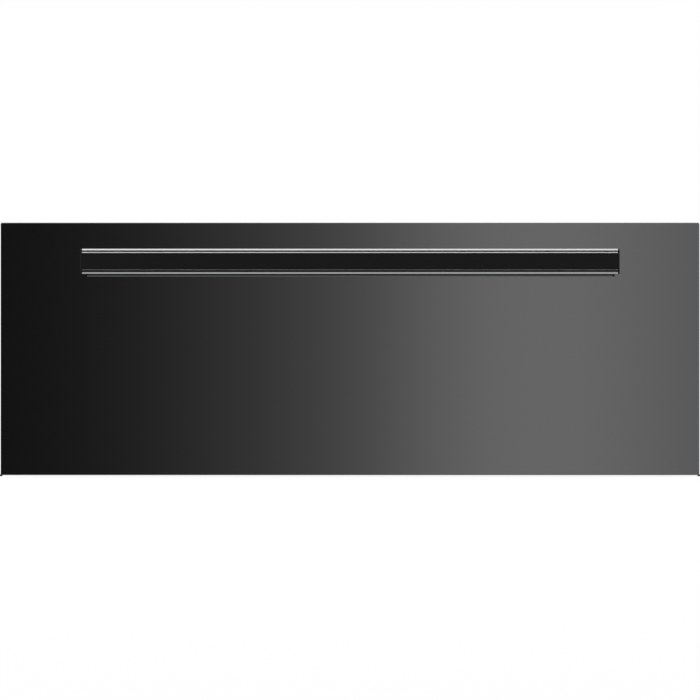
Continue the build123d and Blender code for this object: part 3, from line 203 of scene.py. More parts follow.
# Card: painted in a slow gradient from side to side, and faded out to one grey towards its edges
card_half_width = 1.2
card_half_height = 0.6
card_middle = 0.2  # above the table
card_gap = 0.02  # from the lens back to the card
gradient_half_width = 0.78
fade_across = 0.8  # from the middle to where the fade begins
fade_up = 0.32
card_paint, tree, place = start_material("graded card")
axes = add_node(tree, "SeparateXYZ", {0: place})
along = add_node(tree, "MapRange", {"Value": (axes, "X"), "From Min": -gradient_half_width,
                                    "From Max": gradient_half_width})
ramp = add_node(tree, "ValToRGB", {0: (along, 0)}, stops=(
    (0.0, "#363636"), (0.18, "#505050"), (0.36, "#838383"), (0.52, "#b6b6b6"),
    (0.66, "#f8f8f8"), (0.76, "#ffffff"), (0.86, "#fefefe"), (1.0, "#dcdcdc")))
ramp.color_ramp.interpolation = "B_SPLINE"
fades = []
for axis, middle, edge, start in (("X", 0.0, card_half_width, fade_across),
                                  ("Z", card_middle, card_half_height, fade_up)):
    off = add_node(tree, "Math", {0: (axes, axis), 1: middle}, operation="SUBTRACT")
    away = add_node(tree, "Math", {0: (off, 0)}, operation="ABSOLUTE")
    fades.append(add_node(tree, "MapRange", {"Value": (away, 0), "From Min": edge,
                                             "From Max": start}))
inside = add_node(tree, "Math", {0: (fades[0], 0), 1: (fades[1], 0)}, operation="MULTIPLY")
faded = add_node(tree, "Mix", {0: (inside, 0), 6: linear("#b8b8b8"), 7: (ramp, 0)},
                 data_type="RGBA")
glow = add_node(tree, "Emission", {"Color": (faded, 2), "Strength": 0.52})
add_node(tree, "OutputMaterial", {"Surface": (glow, 0)})
card_y = glass_low.y - view_distance - card_gap
corners = [(x * card_half_width, card_y, card_middle + z * card_half_height) for x, z in square]
card = mesh_piece("card", [(corners, [(0, 1, 2, 3)])], card_paint)
for ray in ("camera", "diffuse", "transmission", "volume_scatter", "shadow"):
    setattr(card, "visible_" + ray, False)
card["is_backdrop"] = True


# ---- Glass front
# One pane of toughened float glass, 5 mm thick, coated black and mirror bright, with a ground edge.
# It is glued to the steel shell behind it, and the handle's bolts go through it.
def per_metre(*sizes_mm):
    """How often a pattern fits in a metre, from its size in mm or its sizes along X, Y and Z."""
    counts = tuple(1000.0 / size for size in sizes_mm)
    return counts if len(counts) > 1 else counts[0]


def dress(material, *names):
    """Give CAD nodes their finish."""
    for name in names:
        nodes[name].data.materials.clear()
        nodes[name].data.materials.append(material)


def finish_material(tree, tone, shades, roughness, sockets, relief=None):
    """Finish a material: two shades mixed by the link tone, roughness, more sockets and relief.

    A shade is a hex code or a link. relief is a link to its height, its strength and depth in mm.
    """
    first, second = [linear(shade) if isinstance(shade, str) else shade for shade in shades]
    colour = add_node(tree, "Mix", {0: tone, 6: first, 7: second}, data_type="RGBA")
    inputs = {"Base Color": (colour, 2), "Roughness": roughness, **sockets}
    if relief:
        height, strength, depth_mm = relief
        bump = add_node(tree, "Bump", {"Height": height, "Strength": strength,
                                       "Distance": depth_mm / 1000})
        inputs["Normal"] = (bump, 0)
    shader = add_node(tree, "BsdfPrincipled", inputs)
    add_node(tree, "OutputMaterial", {"Surface": (shader, 0)})


# Coated float glass: black and mirror sharp, with the rollers' slow wave and a little haze of
# wiping; its ground edge is duller than its face. The metal in the coat makes it mirror a quarter
# of the light, which is an IOR of 3.
mirror_glass, tree, place = start_material("coated black float glass")
sides = add_node(tree, "SeparateXYZ", {0: (add_node(tree, "NewGeometry"), "True Normal")})
facing = add_node(tree, "Math", {0: (sides, "Y")}, operation="ABSOLUTE")
face = add_node(tree, "Math", {0: (facing, 0), 1: 0.95}, operation="GREATER_THAN")
wiping = add_node(tree, "Mapping", {"Vector": place, "Scale": (1.0, 1.0, 3.0)})
haze = add_node(tree, "TexNoise", {"Vector": (wiping, 0), "Scale": per_metre(160), "Detail": 4.0})
face_rough = add_node(tree, "MapRange", {"Value": (haze, 0), "From Min": 0.45, "From Max": 0.75,
                                         "To Min": 0.012, "To Max": 0.028})
rough = add_node(tree, "Mix", {0: (face, 0), 2: 0.38, 3: (face_rough, 0)})
wave = add_node(tree, "TexNoise", {"Vector": place, "Scale": per_metre(240), "Detail": 0.0})
finish_material(tree, (face, 0), ("#0d100f", "#030304"), (rough, 0), {"IOR": 3.0},
                relief=((wave, 0), 0.10, 0.2))
dress(mirror_glass, "front_glass")


# ---- Clips under the glass
# Two small angles of moulded black plastic. Each holds a lower corner of the glass and is clipped
# to the shell behind it; its lip shows as a nub at the corner.
def uneven_finish(name, sizes, detail, shades, roughness, sockets, relief=None, grain=None,
                  contrast=(0.0, 1.0)):
    """A material with one noise pattern in its shades and, between two ends, in its roughness.

    sizes are the pattern's along X, Y and Z in mm, and contrast is the part of it that the
    roughness follows. relief is the strength and the depth in mm of a bump of this pattern, or of
    a finer one: grain, its size in mm and its detail.
    """
    material, tree, place = start_material(name)
    scaled = add_node(tree, "Mapping", {"Vector": place, "Scale": per_metre(*sizes)})
    pattern = add_node(tree, "TexNoise", {"Vector": (scaled, 0), "Scale": 1.0, "Detail": detail})
    rough = add_node(tree, "MapRange", {"Value": (pattern, 0),
                                        "From Min": contrast[0], "From Max": contrast[1],
                                        "To Min": roughness[0], "To Max": roughness[1]})
    raised = pattern
    if grain:
        raised = add_node(tree, "TexNoise", {"Vector": place, "Scale": per_metre(grain[0]),
                                             "Detail": grain[1]})
    finish_material(tree, (pattern, 0), shades, (rough, 0), sockets,
                    relief=relief and ((raised, 0), *relief))
    return material


# ABS: black, moulded in a spark eroded tool that leaves a fine even grain. The real grain of
# 0.1 mm is drawn at 0.6 mm, so that it shows.
black_abs = uneven_finish("moulded black ABS", (30, 30, 30), 3.0, ("#0b0b0c", "#121213"),
                          (0.40, 0.52), {"Specular IOR Level": 0.3}, relief=(0.25, 0.08),
                          grain=(0.6, 2.0))
dress(black_abs, "glass_clips", "handle_end_caps", "control_fascia", "control_module",
      "thermal_cutout")

# ---- Handle
# An extruded bar with bright lips and satin ribs, a black strip laid into its face, and moulded end
# caps. Two turned posts hold it off the glass, bolted through to the shell.
bar_low, bar_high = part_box("handle_bar")
bar_middle = (bar_low.z + bar_high.z) / 2
groove_depth = 0.0022
mask_margin = 0.0002
# Bands painted near black as shade, as heights from the middle of the bar: the upper groove, and
# the lower groove with the rib beside it
upper_painted_shade = (0.01005, 0.01137)  # above the middle of the bar
lower_painted_shade = (-0.01137, -0.00916)
# Painted shadow: the bar is painted near black this far in from each end, in the gap by its end cap
painted_end_shadow = 0.0006  # the shadow gap between the bar and its end cap
painted_shade_roughness = 0.6
rib_roughness = 0.3  # more than that of the lips
rib_metallic = 0.55

# Aluminium: extruded, polished along its length and clear anodised, so that fine lines run along
# the bar. The ribs beside the strip are blasted, which makes them paler and spreads what they
# mirror. The narrow grooves and the gaps at the bar's ends are painted near black as shade, and
# the lower band of painted shade laps over the rib beside it, which the light from above leaves
# dim.
bright_anodised, tree, place = start_material("bright anodised aluminium")
drawn = add_node(tree, "Mapping", {"Vector": place, "Scale": per_metre(600, 0.5, 0.5)})
lines = add_node(tree, "TexNoise", {"Vector": (drawn, 0), "Scale": 1.0, "Detail": 3.0})
axes = add_node(tree, "SeparateXYZ", {0: place})
height = add_node(tree, "Math", {0: (axes, "Z"), 1: bar_middle}, operation="SUBTRACT")
inside = add_node(tree, "Math", {0: (axes, "Y"), 1: bar_low.y + groove_depth / 2,
                                 2: groove_depth / 2 + mask_margin}, operation="COMPARE")
upper, lower = [add_node(tree, "Math", {0: (height, 0), 1: (low + high) / 2, 2: (high - low) / 2},
                         operation="COMPARE") for low, high in (upper_painted_shade, lower_painted_shade)]
both = add_node(tree, "Math", {0: (upper, 0), 1: (lower, 0)}, operation="MAXIMUM")
grooves = add_node(tree, "Math", {0: (both, 0), 1: (inside, 0)}, operation="MULTIPLY")
across = add_node(tree, "Math", {0: (axes, "X")}, operation="ABSOLUTE")
ends = add_node(tree, "Math", {0: (across, 0), 1: bar_high.x - painted_end_shadow},
                operation="GREATER_THAN")
painted_shade = add_node(tree, "Math", {0: (grooves, 0), 1: (ends, 0)}, operation="MAXIMUM")
polish = add_node(tree, "MapRange", {"Value": (lines, 0), "To Min": 0.15, "To Max": 0.24})
ribs = add_node(tree, "Math", {0: (height, 0), 1: 0.0, 2: upper_painted_shade[0]}, operation="COMPARE")
satin = add_node(tree, "Math", {0: (ribs, 0), 1: rib_roughness, 2: (polish, 0)},
                 operation="MULTIPLY_ADD")
rough = add_node(tree, "Mix", {0: (painted_shade, 0), 2: (satin, 0), 3: painted_shade_roughness})
tone = add_node(tree, "Math", {0: (ribs, 0), 1: (lines, 0)}, operation="MAXIMUM")
metal = add_node(tree, "Mix", {0: (tone, 0), 6: linear("#c0c1c2"), 7: linear("#f2f3f4")},
                 data_type="RGBA")
blasted = add_node(tree, "Math", {0: (ribs, 0), 1: rib_metallic - 1.0, 2: 1.0},
                   operation="MULTIPLY_ADD")
bare = add_node(tree, "Math", {0: (blasted, 0), 1: (painted_shade, 0)}, operation="SUBTRACT",
                use_clamp=True)
# The painted shade is near black and not metal, over the grooves, the lower rib and the ends
finish_material(tree, (painted_shade, 0), ((metal, 2), "#070708"), (rough, 0), {"Metallic": (bare, 0)},
                relief=((lines, 0), 0.12, 0.05))
dress(bright_anodised, "handle_bar")

# Let-in strip: matt black anodised strip, brushed along its length, which kills its shine
black_strip = uneven_finish("matt black anodised strip", (60, 0.7, 0.7), 2.0,
                            ("#111112", "#181819"), (0.42, 0.58), {"Specular IOR Level": 0.12},
                            relief=(0.2, 0.05))
dress(black_strip, "handle_insert")


# ---- Handle posts
# Two round aluminium posts, turned down to a waist between two feet. Each is bolted through from
# inside the front, into a nut that slides in the slot along the back of the bar.
def circle(sides):
    """Cosine and sine of even turns round a circle."""
    turns = [2 * pi * side / sides for side in range(sides)]
    return [(cos(turn), sin(turn)) for turn in turns]


def turned_rings(profile, axis_x, axis_z, sides):
    """Rings of a piece turned about a line along Y, from pairs of place along it and radius."""
    return [[(axis_x + radius * a, y, axis_z + radius * b) for a, b in circle(sides)]
            for y, radius in profile]


def ring_skin(rings, closed=False):
    """A skin over rings of equal count; where it isn't closed, flat lids close its ends."""
    count = len(rings[0])
    points = [point for ring in rings for point in ring]
    faces = []
    for row in range(len(rings) if closed else len(rings) - 1):
        here = row * count
        there = (row + 1) % len(rings) * count
        faces += [(here + i, here + (i + 1) % count, there + (i + 1) % count, there + i)
                  for i in range(count)]
    if not closed:
        faces.append(tuple(reversed(range(count))))
        faces.append(tuple(range(len(points) - count, len(points))))
    return points, faces


post_foot_edge = 0.0004
post_foot = 0.0025
post_taper = 0.006
post_waist = 0.0050
post_steps = 8

# Aluminium: turned on a lathe, so its fine lines run round it, and clear anodised
turned_aluminium = uneven_finish("turned anodised aluminium", (40, 0.5, 40), 3.0,
                                 ("#b8b9ba", "#d0d1d2"), (0.2, 0.32), {"Metallic": 1.0},
                                 relief=(0.15, 0.05))
for side in ("left", "right"):
    low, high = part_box("handle_post_" + side)
    outer = (high.x - low.x) / 2
    profile = [(low.y, outer - post_foot_edge), (low.y + post_foot_edge, outer),
               (low.y + post_foot, outer)]
    for step in range(1, post_steps + 1):
        drop = (outer - post_waist) * sin(radians(90 * step / post_steps)) ** 2
        profile.append((low.y + post_foot + post_taper * step / post_steps, outer - drop))
    profile += [(low.y + high.y - y, radius) for y, radius in reversed(profile)]
    rings = turned_rings(profile, (low.x + high.x) / 2, (low.z + high.z) / 2, sides=48)
    post = mesh_piece("turned_post_" + side, [ring_skin(rings)], turned_aluminium, smooth_below=35)
    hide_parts("handle_post_" + side)
    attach(post, "drawer")

# ---- Bolts, nuts and straps
# Socket headed bolts and square nuts for the handle, and the straps that hold the heating element.
# All are bright zinc plated steel.

# Steel: cold formed and zinc plated, a little blue, with a soft bloom from the bath
zinc_plated = uneven_finish("bright zinc plated steel", (4, 4, 4), 4.0, ("#a9afb4", "#c9cdd0"),
                            (0.26, 0.42), {"Metallic": 1.0}, relief=(0.2, 0.05))
dress(zinc_plated, "handle_bolts_and_nuts", "element_clips")

# ---- Shell of the front and frame of the cabinet
# Two pressings of sheet steel, both powder coated black. The shell carries the glass, and the frame
# closes the face of the cabinet, where four screws hold it to the cabinet's sides.

# Powder coat: sprayed and baked, so it is satin, with the ripple of orange peel, which is near 1 mm
# and is drawn at 1.6 mm.
powder_coat = uneven_finish("black powder coat", (70, 70, 70), 5.0, ("#19191a", "#222223"),
                            (0.42, 0.56), {"IOR": 1.5}, relief=(0.35, 0.12), grain=(1.6, 1.5),
                            contrast=(0.35, 0.7))
dress(powder_coat, "front_shell", "front_frame")


# ---- Liners, rails and vent shutter
# Sheets of stainless steel: the front's inner liner with its vent shutter, the lining of the warm
# cavity, and the folded rails and angles that carry the pan. All are cut, bent and spot welded.
def brushed_sheet(name, sizes, shades, smoothest, roughest):
    """Metal sheet brushed in one direction, a little duller where it has been touched."""
    material, tree, place = start_material(name)
    drawn = add_node(tree, "Mapping", {"Vector": place, "Scale": per_metre(*sizes)})
    lines = add_node(tree, "TexNoise", {"Vector": (drawn, 0), "Scale": 1.0, "Detail": 4.0})
    brushed = add_node(tree, "MapRange", {"Value": (lines, 0), "From Min": 0.3, "From Max": 0.7,
                                          "To Min": smoothest, "To Max": roughest})
    touched = add_node(tree, "TexNoise", {"Vector": place, "Scale": per_metre(110), "Detail": 3.0})
    rough = add_node(tree, "Math", {0: (touched, 0), 1: 0.08, 2: (brushed, 0)},
                     operation="MULTIPLY_ADD")
    finish_material(tree, (lines, 0), shades, (rough, 0), {"Metallic": 1.0},
                    relief=((lines, 0), 0.2, 0.06))
    return material


# Stainless steel: brushed across the front, which draws reflections out into soft vertical streaks
dress(brushed_sheet("stainless brushed across", (90, 0.7, 0.7), ("#b4b1ac", "#cfccc7"), 0.22, 0.36),
      "front_liner", "vent_shutter", "front_angle", "rear_angle")
# Stainless steel: brushed along the drawer's travel
dress(brushed_sheet("stainless brushed lengthways", (0.7, 90, 0.7), ("#b1aea9", "#cbc8c3"),
                    0.24, 0.38), "side_rail_left", "side_rail_right")
# Stainless steel: bright rolled and left as it comes off the mill, smoother and a little grey
dress(brushed_sheet("stainless as rolled", (2.5, 160, 2.5), ("#a6a5a2", "#bdbbb8"), 0.2, 0.3),
      "liner_floor", "liner_ceiling", "liner_side_left", "liner_side_right", "liner_rear")

# ---- Insulation
# Felt of mineral wool, cut to the spaces behind the glass, round the cavity and behind it. The
# sheets on both its sides hold it.

# Mineral wool: spun and pressed into felt, a dull straw colour, with loose fibres all over it,
# which are far finer than a millimetre and drawn at 1.5 mm.
wool, tree, place = start_material("mineral wool felt")
fibres = add_node(tree, "TexNoise", {"Vector": place, "Scale": per_metre(1.5), "Detail": 6.0,
                                     "Roughness": 0.7, "Distortion": 2.5})
clumps = add_node(tree, "TexNoise", {"Vector": place, "Scale": per_metre(18), "Detail": 4.0})
mixed = add_node(tree, "Math", {0: (fibres, 0), 1: (clumps, 0)}, operation="MULTIPLY")
tone = add_node(tree, "MapRange", {"Value": (mixed, 0), "From Min": 0.12, "From Max": 0.4})
finish_material(tree, (tone, 0), ("#a5966b", "#e0d4ad"), 0.95, {"IOR": 1.45},
                relief=((mixed, 0), 0.9, 1.2))
dress(wool, "front_insulation", "insulation_wrap", "insulation_rear")


# ---- Gasket
# A loop of extruded silicone on the back of the front: a flat foot, a neck and a round bulb, whose
# crown lies a hair from the frame of the cabinet when the drawer is shut.
def rounded_outline(half_a, half_b, radius, steps):
    """Points round a rectangle with rounded corners, about its middle."""
    points = []
    for turn, (sign_a, sign_b) in enumerate(((1, 1), (-1, 1), (-1, -1), (1, -1))):
        for step in range(steps + 1):
            angle = radians(90 * (turn + step / steps))
            points.append((sign_a * (half_a - radius) + radius * cos(angle),
                           sign_b * (half_b - radius) + radius * sin(angle)))
    return points


# The section in mm: how far in from the loop's outer edge, and off the liner
gasket_section = ((0.0, 0.0), (8.0, 0.0), (8.0, 0.9), (7.2, 1.3), (6.4, 1.8), (6.5, 2.6),
                  (6.9, 3.4), (7.0, 4.3), (6.8, 5.3), (6.2, 6.4), (5.2, 7.3), (4.0, 7.65),
                  (2.8, 7.3), (1.8, 6.4), (1.2, 5.3), (1.0, 4.3), (1.1, 3.4), (1.5, 2.6),
                  (1.6, 1.8), (0.8, 1.3), (0.0, 0.9))
gasket_corner = 0.014
low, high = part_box("front_gasket")
middle = (low + high) / 2
loop_size = ((high.x - low.x) / 2, (high.z - low.z) / 2, gasket_corner)
rings = []
for inset, lift in gasket_section:
    outline = rounded_outline(*[size - inset / 1000 for size in loop_size], steps=10)
    rings.append([(middle.x + a, low.y + lift / 1000, middle.z + b) for a, b in outline])

# Silicone: extruded and cured, dark grey and matt, with a faint bloom where it has been wiped
silicone = uneven_finish("dark silicone rubber", (14, 14, 14), 5.0, ("#2f2f31", "#474749"),
                         (0.55, 0.8), {"IOR": 1.41, "Sheen Weight": 0.15}, relief=(0.25, 0.1),
                         grain=(0.8, 2.0))
loop = mesh_piece("gasket_loop", [ring_skin(rings, closed=True)], silicone, smooth_below=50)
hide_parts("front_gasket")
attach(loop, "drawer")

# ---- Keys
# Four moulded keys in wells of the control strip: off and three heats. Each has a cushioned edge, a
# shallow dish for the finger, and a flange below that keeps it in its well.
key_cap_half = (0.008, 0.0045)
key_cap_corner = 0.0013
key_flange_corner = 0.0006
key_flange_height = 0.0012
key_edge_radius = 0.0006
key_edge_steps = 4
key_dish = 0.00008
# Rings in the dish, as shares of the way to its middle and of its depth
key_dish_rings = ((0.16, 0.25), (0.4, 0.7), (0.75, 1.0))
legend_size = 0.0042
legend_thickness = 0.00002

# ABS: moulded in a polished tool, dark grey and satin, with fine specks of dust and touch
key_abs = uneven_finish("satin dark grey ABS", (5, 5, 5), 4.0, ("#323234", "#3f3f42"),
                        (0.24, 0.4), {"IOR": 1.53}, relief=(0.15, 0.04), grain=(0.4, 1.0))

# Legends: pad printed in white ink, which lies a hair above the key and wears unevenly
key_ink = uneven_finish("white pad printing ink", (0.7, 0.7, 0.7), 3.0, ("#c9c9c7", "#efefec"),
                        (0.45, 0.65), {})

for key, legend in (("key_off", "OFF"), ("key_low", "1"), ("key_medium", "2"), ("key_high", "3")):
    low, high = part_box(key)
    middle = (low + high) / 2
    flange = ((high.x - low.x) / 2, (high.y - low.y) / 2, key_flange_corner)
    levels = [(*flange, low.z), (*flange, low.z + key_flange_height),
              (*key_cap_half, key_cap_corner, low.z + key_flange_height)]
    for step in range(key_edge_steps + 1):
        turn = radians(90 * step / key_edge_steps)
        drawn_in = key_edge_radius * (1 - cos(turn))
        levels.append((key_cap_half[0] - drawn_in, key_cap_half[1] - drawn_in,
                       key_cap_corner - drawn_in, high.z - key_edge_radius * (1 - sin(turn))))
    edge_x, edge_y, edge_radius, top_z = levels[-1]
    for share, depth in key_dish_rings:
        levels.append((edge_x - share * edge_y, edge_y * (1 - share), edge_radius * (1 - share),
                       top_z - depth * key_dish))
    rings = [[(middle.x + a, middle.y + b, z) for a, b in rounded_outline(*shape, steps=6)]
             for *shape, z in levels]
    cap = mesh_piece("cap_of_" + key, [ring_skin(rings)], key_abs, smooth_below=35)
    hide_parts(key)
    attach(cap, key)
    letters = bpy.data.curves.new("letters_" + legend, "FONT")
    letters.body = legend
    letters.size = legend_size
    letters.extrude = legend_thickness
    letters.align_x = "CENTER"
    letters.align_y = "CENTER"
    letters.resolution_u = 4
    drawn = bpy.data.objects.new("letters_" + legend, letters)
    printed = bpy.data.meshes.new_from_object(drawn)
    bpy.data.objects.remove(drawn)
    work = bmesh.new()
    work.from_mesh(printed)
    bmesh.ops.remove_doubles(work, verts=work.verts, dist=legend_thickness / 4)
    bmesh.ops.recalc_face_normals(work, faces=work.faces)
    bmesh.ops.translate(work, verts=work.verts,
                        vec=(middle.x, middle.y, top_z - key_dish + legend_thickness))
    work.to_mesh(printed)
    work.free()
    printed.materials.append(key_ink)
    print_piece = bpy.data.objects.new("print_on_" + key, printed)
    scene.collection.objects.link(print_piece)
    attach(print_piece, key)

# ---- Lenses and key board
# A small light guide beside each key, over a lamp on the board below. The board carries a switch
# under each key and is clipped between the legs of the strip.

# Acrylic: moulded clear with an amber dye, smooth on top, dark while its lamp is out
amber, tree, place = start_material("amber acrylic")
ribs = add_node(tree, "TexWave", {"Vector": place, "Scale": per_metre(3.5), "Distortion": 0.4})
rough = add_node(tree, "MapRange", {"Value": (ribs, 1), "To Min": 0.08, "To Max": 0.2})
finish_material(tree, (ribs, 1), ("#5a2204", "#8a3d06"), (rough, 0), {"IOR": 1.49})
dress(amber, "indicator_lenses")

# Board: glass fibre laminate under green solder mask, with copper tracks that show through it
board_green, tree, place = start_material("green solder mask on laminate")
tracks = add_node(tree, "TexBrick", {"Vector": place, "Scale": per_metre(6), "Mortar Size": 0.06,
                                     "Mortar Smooth": 0.1})
cloth = add_node(tree, "TexNoise", {"Vector": place, "Scale": per_metre(1.2), "Detail": 2.0})
mask = add_node(tree, "Mix", {0: (cloth, 0), 6: linear("#12502f"), 7: linear("#1b6a3f")},
                data_type="RGBA")
rough = add_node(tree, "MapRange", {"Value": (cloth, 0), "To Min": 0.25, "To Max": 0.4})
finish_material(tree, (tracks, 1), ((mask, 2), "#3c8a55"), (rough, 0), {"IOR": 1.5},
                relief=((tracks, 1), 0.3, 0.04))
dress(board_green, "key_board")

# ---- Casing
# Base, sides, top and rear of folded sheet steel, and the supply box on the rear. They are cut and
# bent from coil that was dipped in zinc, spot welded, and screwed at the rear.

# Galvanised sheet: dipped in molten zinc, which sets in flat crystals about 9 mm across. Each has
# its own brightness and leans a little its own way; their edges are bent by a finer noise.
galvanised, tree, place = start_material("hot dip galvanised sheet")
half = (0.5, 0.5, 0.5)
edge_bend = (0.0015, 0.0015, 0.0015)
crystal_lean = (0.12, 0.12, 0.12)
warp = add_node(tree, "TexNoise", {"Vector": place, "Scale": per_metre(7), "Detail": 2.0})
bent = add_node(tree, "VectorMath", {0: (warp, 1), 1: half}, operation="SUBTRACT")
moved = add_node(tree, "VectorMath", {0: (bent, 0), 1: edge_bend, 2: place},
                 operation="MULTIPLY_ADD")
spangle = add_node(tree, "TexVoronoi", {"Vector": (moved, 0), "Scale": per_metre(9)})
crystal = add_node(tree, "SeparateColor", {0: (spangle, "Color")})
feather = add_node(tree, "TexNoise", {"Vector": place, "Scale": per_metre(1.5), "Detail": 3.0})
tone = add_node(tree, "Math", {0: (feather, 0), 1: 0.6, 2: (crystal, 0)}, operation="MULTIPLY_ADD")
rough = add_node(tree, "MapRange", {"Value": (crystal, 1), "To Min": 0.34, "To Max": 0.52})
lean = add_node(tree, "VectorMath", {0: (spangle, "Color"), 1: half}, operation="SUBTRACT")
tilted = add_node(tree, "VectorMath", {0: (lean, 0), 1: crystal_lean,
                                       2: (add_node(tree, "NewGeometry"), "Normal")},
                  operation="MULTIPLY_ADD")
even = add_node(tree, "VectorMath", {0: (tilted, 0)}, operation="NORMALIZE")
bump = add_node(tree, "Bump", {"Height": (feather, 0), "Strength": 0.2, "Distance": 0.0001,
                               "Normal": (even, 0)})
finish_material(tree, (tone, 0), ("#a6aaad", "#b6babc"), (rough, 0),
                {"Metallic": 1.0, "Normal": (bump, 0)})
dress(galvanised, "base_pan", "side_panel_left", "side_panel_right", "top_panel", "rear_panel",
      "supply_box")

# ---- Casing screws
# Six hexagon headed sheet screws with a pressed washer face: four hold the rear panel to the sides,
# and two hold the ears of the supply box.
screw_sides = 24
screw_length = 0.005
shank_radius = 0.0019
washer_radius = 0.0036
hexagon_corner = 0.0031
head_height = 0.0022
# Radius of a hexagon at each side of the rings, as a share of its corners'
hexagon = [cos(radians(30)) / cos(radians(turn * 360 / screw_sides % 60 - 30))
           for turn in range(screw_sides)]
side_screw_x = 0.35175  # from the middle of the rear panel
screw_above_base = 0.032
screw_below_top = 0.030
ear_thickness = 0.0012
ear_screw_inset = 0.0055


def screw_rings(x, z, seat, length):
    """Rings of a sheet screw along Y: point, shank, washer face, hexagon and dimple."""
    shank = [(seat - length, 0.0006), (seat - length + 0.0008, shank_radius),
             (seat, shank_radius), (seat, washer_radius), (seat + 0.0004, washer_radius),
             (seat + 0.0006, 0.0033)]
    rings = turned_rings(shank, x, z, screw_sides)
    for y, corner in ((0.0006, hexagon_corner), (0.0018, hexagon_corner), (head_height, 0.0027)):
        rings.append([(x + corner * share * a, seat + y, z + corner * share * b)
                      for share, (a, b) in zip(hexagon, circle(screw_sides))])
    dimple = [(seat + head_height, 0.0018), (seat + 0.0018, 0.0015)]
    return rings + turned_rings(dimple, x, z, screw_sides)


low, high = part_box("rear_panel")
supply_low, supply_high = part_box("supply_box")
screws = [(side * side_screw_x, z, high.y, screw_length) for side in (-1, 1)
          for z in (low.z + screw_above_base, high.z - screw_below_top)]
screws += [(x, (supply_low.z + supply_high.z) / 2, high.y + ear_thickness, ear_thickness)
           for x in (supply_low.x + ear_screw_inset, supply_high.x - ear_screw_inset)]
heads = mesh_piece("sheet_screws", [ring_skin(screw_rings(*screw)) for screw in screws],
                   zinc_plated, smooth_below=30)
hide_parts("casing_screws")
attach(heads, "cabinet")


# ---- Heating element
# A bent tube heater of 6.5 mm nickel alloy tube, laid on the floor of the cavity. Its two ends pass
# out through the rear insulation and end in a ceramic bead and a flat blade.
def bent_path(corners, bend, steps):
    """Points along straight runs joined by bends of one radius, from their corners."""
    path = [Vector(corners[0])]
    for before, corner, after in zip(corners, corners[1:], corners[2:]):
        corner = Vector(corner)
        back = (Vector(before) - corner).normalized()
        ahead = (Vector(after) - corner).normalized()
        half = back.angle(ahead) / 2
        hub = corner + (back + ahead).normalized() * bend / sin(half)
        start = corner + back * bend / tan(half) - hub
        end = corner + ahead * bend / tan(half) - hub
        path += [hub + bend * start.slerp(end, step / steps) for step in range(steps + 1)]
    return path + [Vector(corners[-1])]


def wire_rings(path, radius, flat_side, sides, closed=False):
    """Rings round a wire that lies in one plane; flat_side is square to that plane."""
    rings = []
    for index, point in enumerate(path):
        before = path[index - 1] if index or closed else point
        after = path[(index + 1) % len(path)] if index + 1 < len(path) or closed else point
        across = (after - before).normalized().cross(flat_side)
        rings.append([tuple(point + radius * (a * across + b * flat_side))
                      for a, b in circle(sides)])
    return rings


UP = Vector((0, 0, 1))
tube_radius = 0.00325
tube_bend = 0.028
blade_half = (0.00315, 0.0055, 0.0004)
# Runs of the tube: its ends and its middle loop, from the middle plane, and its cross runs
end_x = 0.030
loop_x = 0.092
rear_run_y = 0.2015
loop_depth = 0.120
low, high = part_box("heating_element")
tube_z = (low.z + high.z) / 2
tube_end = high.y - 2 * blade_half[1]
outer_x = high.x - tube_radius
front_run_y = low.y + tube_radius
half_line = [(end_x, tube_end, tube_z), (end_x, rear_run_y, tube_z), (outer_x, rear_run_y, tube_z),
             (outer_x, front_run_y, tube_z), (loop_x, front_run_y, tube_z),
             (loop_x, rear_run_y - loop_depth, tube_z)]
line = half_line + [(-x, y, z) for x, y, z in reversed(half_line)]
sheath = [ring_skin(wire_rings(bent_path(line, tube_bend, steps=8), tube_radius, UP, sides=20))]

# Alloy tube: drawn, then oxidised dark by heat, with brown and bluish patches
oxidised, tree, place = start_material("oxidised nickel alloy")
heat = add_node(tree, "TexNoise", {"Vector": place, "Scale": per_metre(45), "Detail": 3.0})
tint = add_node(tree, "ValToRGB", {0: (heat, 0)},
                stops=((0.36, "#4a4b50"), (0.5, "#5d5048"), (0.64, "#6d6a64")))
flakes = add_node(tree, "TexNoise", {"Vector": place, "Scale": per_metre(1.5), "Detail": 4.0})
rough = add_node(tree, "MapRange", {"Value": (flakes, 0), "To Min": 0.38, "To Max": 0.6})
bump = add_node(tree, "Bump", {"Height": (flakes, 0), "Strength": 0.3, "Distance": 0.0001})
shader = add_node(tree, "BsdfPrincipled", {"Base Color": (tint, 0), "Metallic": 0.9,
                                           "Roughness": (rough, 0), "Normal": (bump, 0)})
add_node(tree, "OutputMaterial", {"Surface": (shader, 0)})

heater = mesh_piece("element_tube", sheath, oxidised, smooth_below=40)
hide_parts("heating_element")
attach(heater, "cabinet")

# Beads: pressed and fired steatite, cream and chalky; the blades in them are plated steel
steatite, tree, place = start_material("fired steatite")
chalk = add_node(tree, "TexNoise", {"Vector": place, "Scale": per_metre(1.0), "Detail": 4.0})
finish_material(tree, (chalk, 0), ("#d9d2c2", "#f0ebdf"), 0.7, {"IOR": 1.6},
                relief=((chalk, 0), 0.3, 0.1))
# From the end of the tube outwards: a bead's radii, and the half widths of a blade to its tip
bead_profile = ((-0.001, 0.0030), (0.0004, 0.0030), (0.0008, 0.0026), (0.0022, 0.0022))
blade_levels = ((tube_end + 0.001, blade_half[0]), (high.y - 0.0015, blade_half[0]),
                (high.y, 0.0018))
blade_edge = 0.0002
beads = []
blades = []
for x in (-end_x, end_x):
    profile = [(tube_end + out, radius) for out, radius in bead_profile]
    beads.append(ring_skin(turned_rings(profile, x, tube_z, sides=20)))
    rings = [[(x + a, y, tube_z + b)
              for a, b in rounded_outline(wide, blade_half[2], blade_edge, steps=2)]
             for y, wide in blade_levels]
    blades.append(ring_skin(rings))
for name, skins, finish in (("element_beads", beads, steatite),
                            ("element_blades", blades, zinc_plated)):
    ends = mesh_piece(name, skins, finish, smooth_below=35)
    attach(ends, "cabinet")

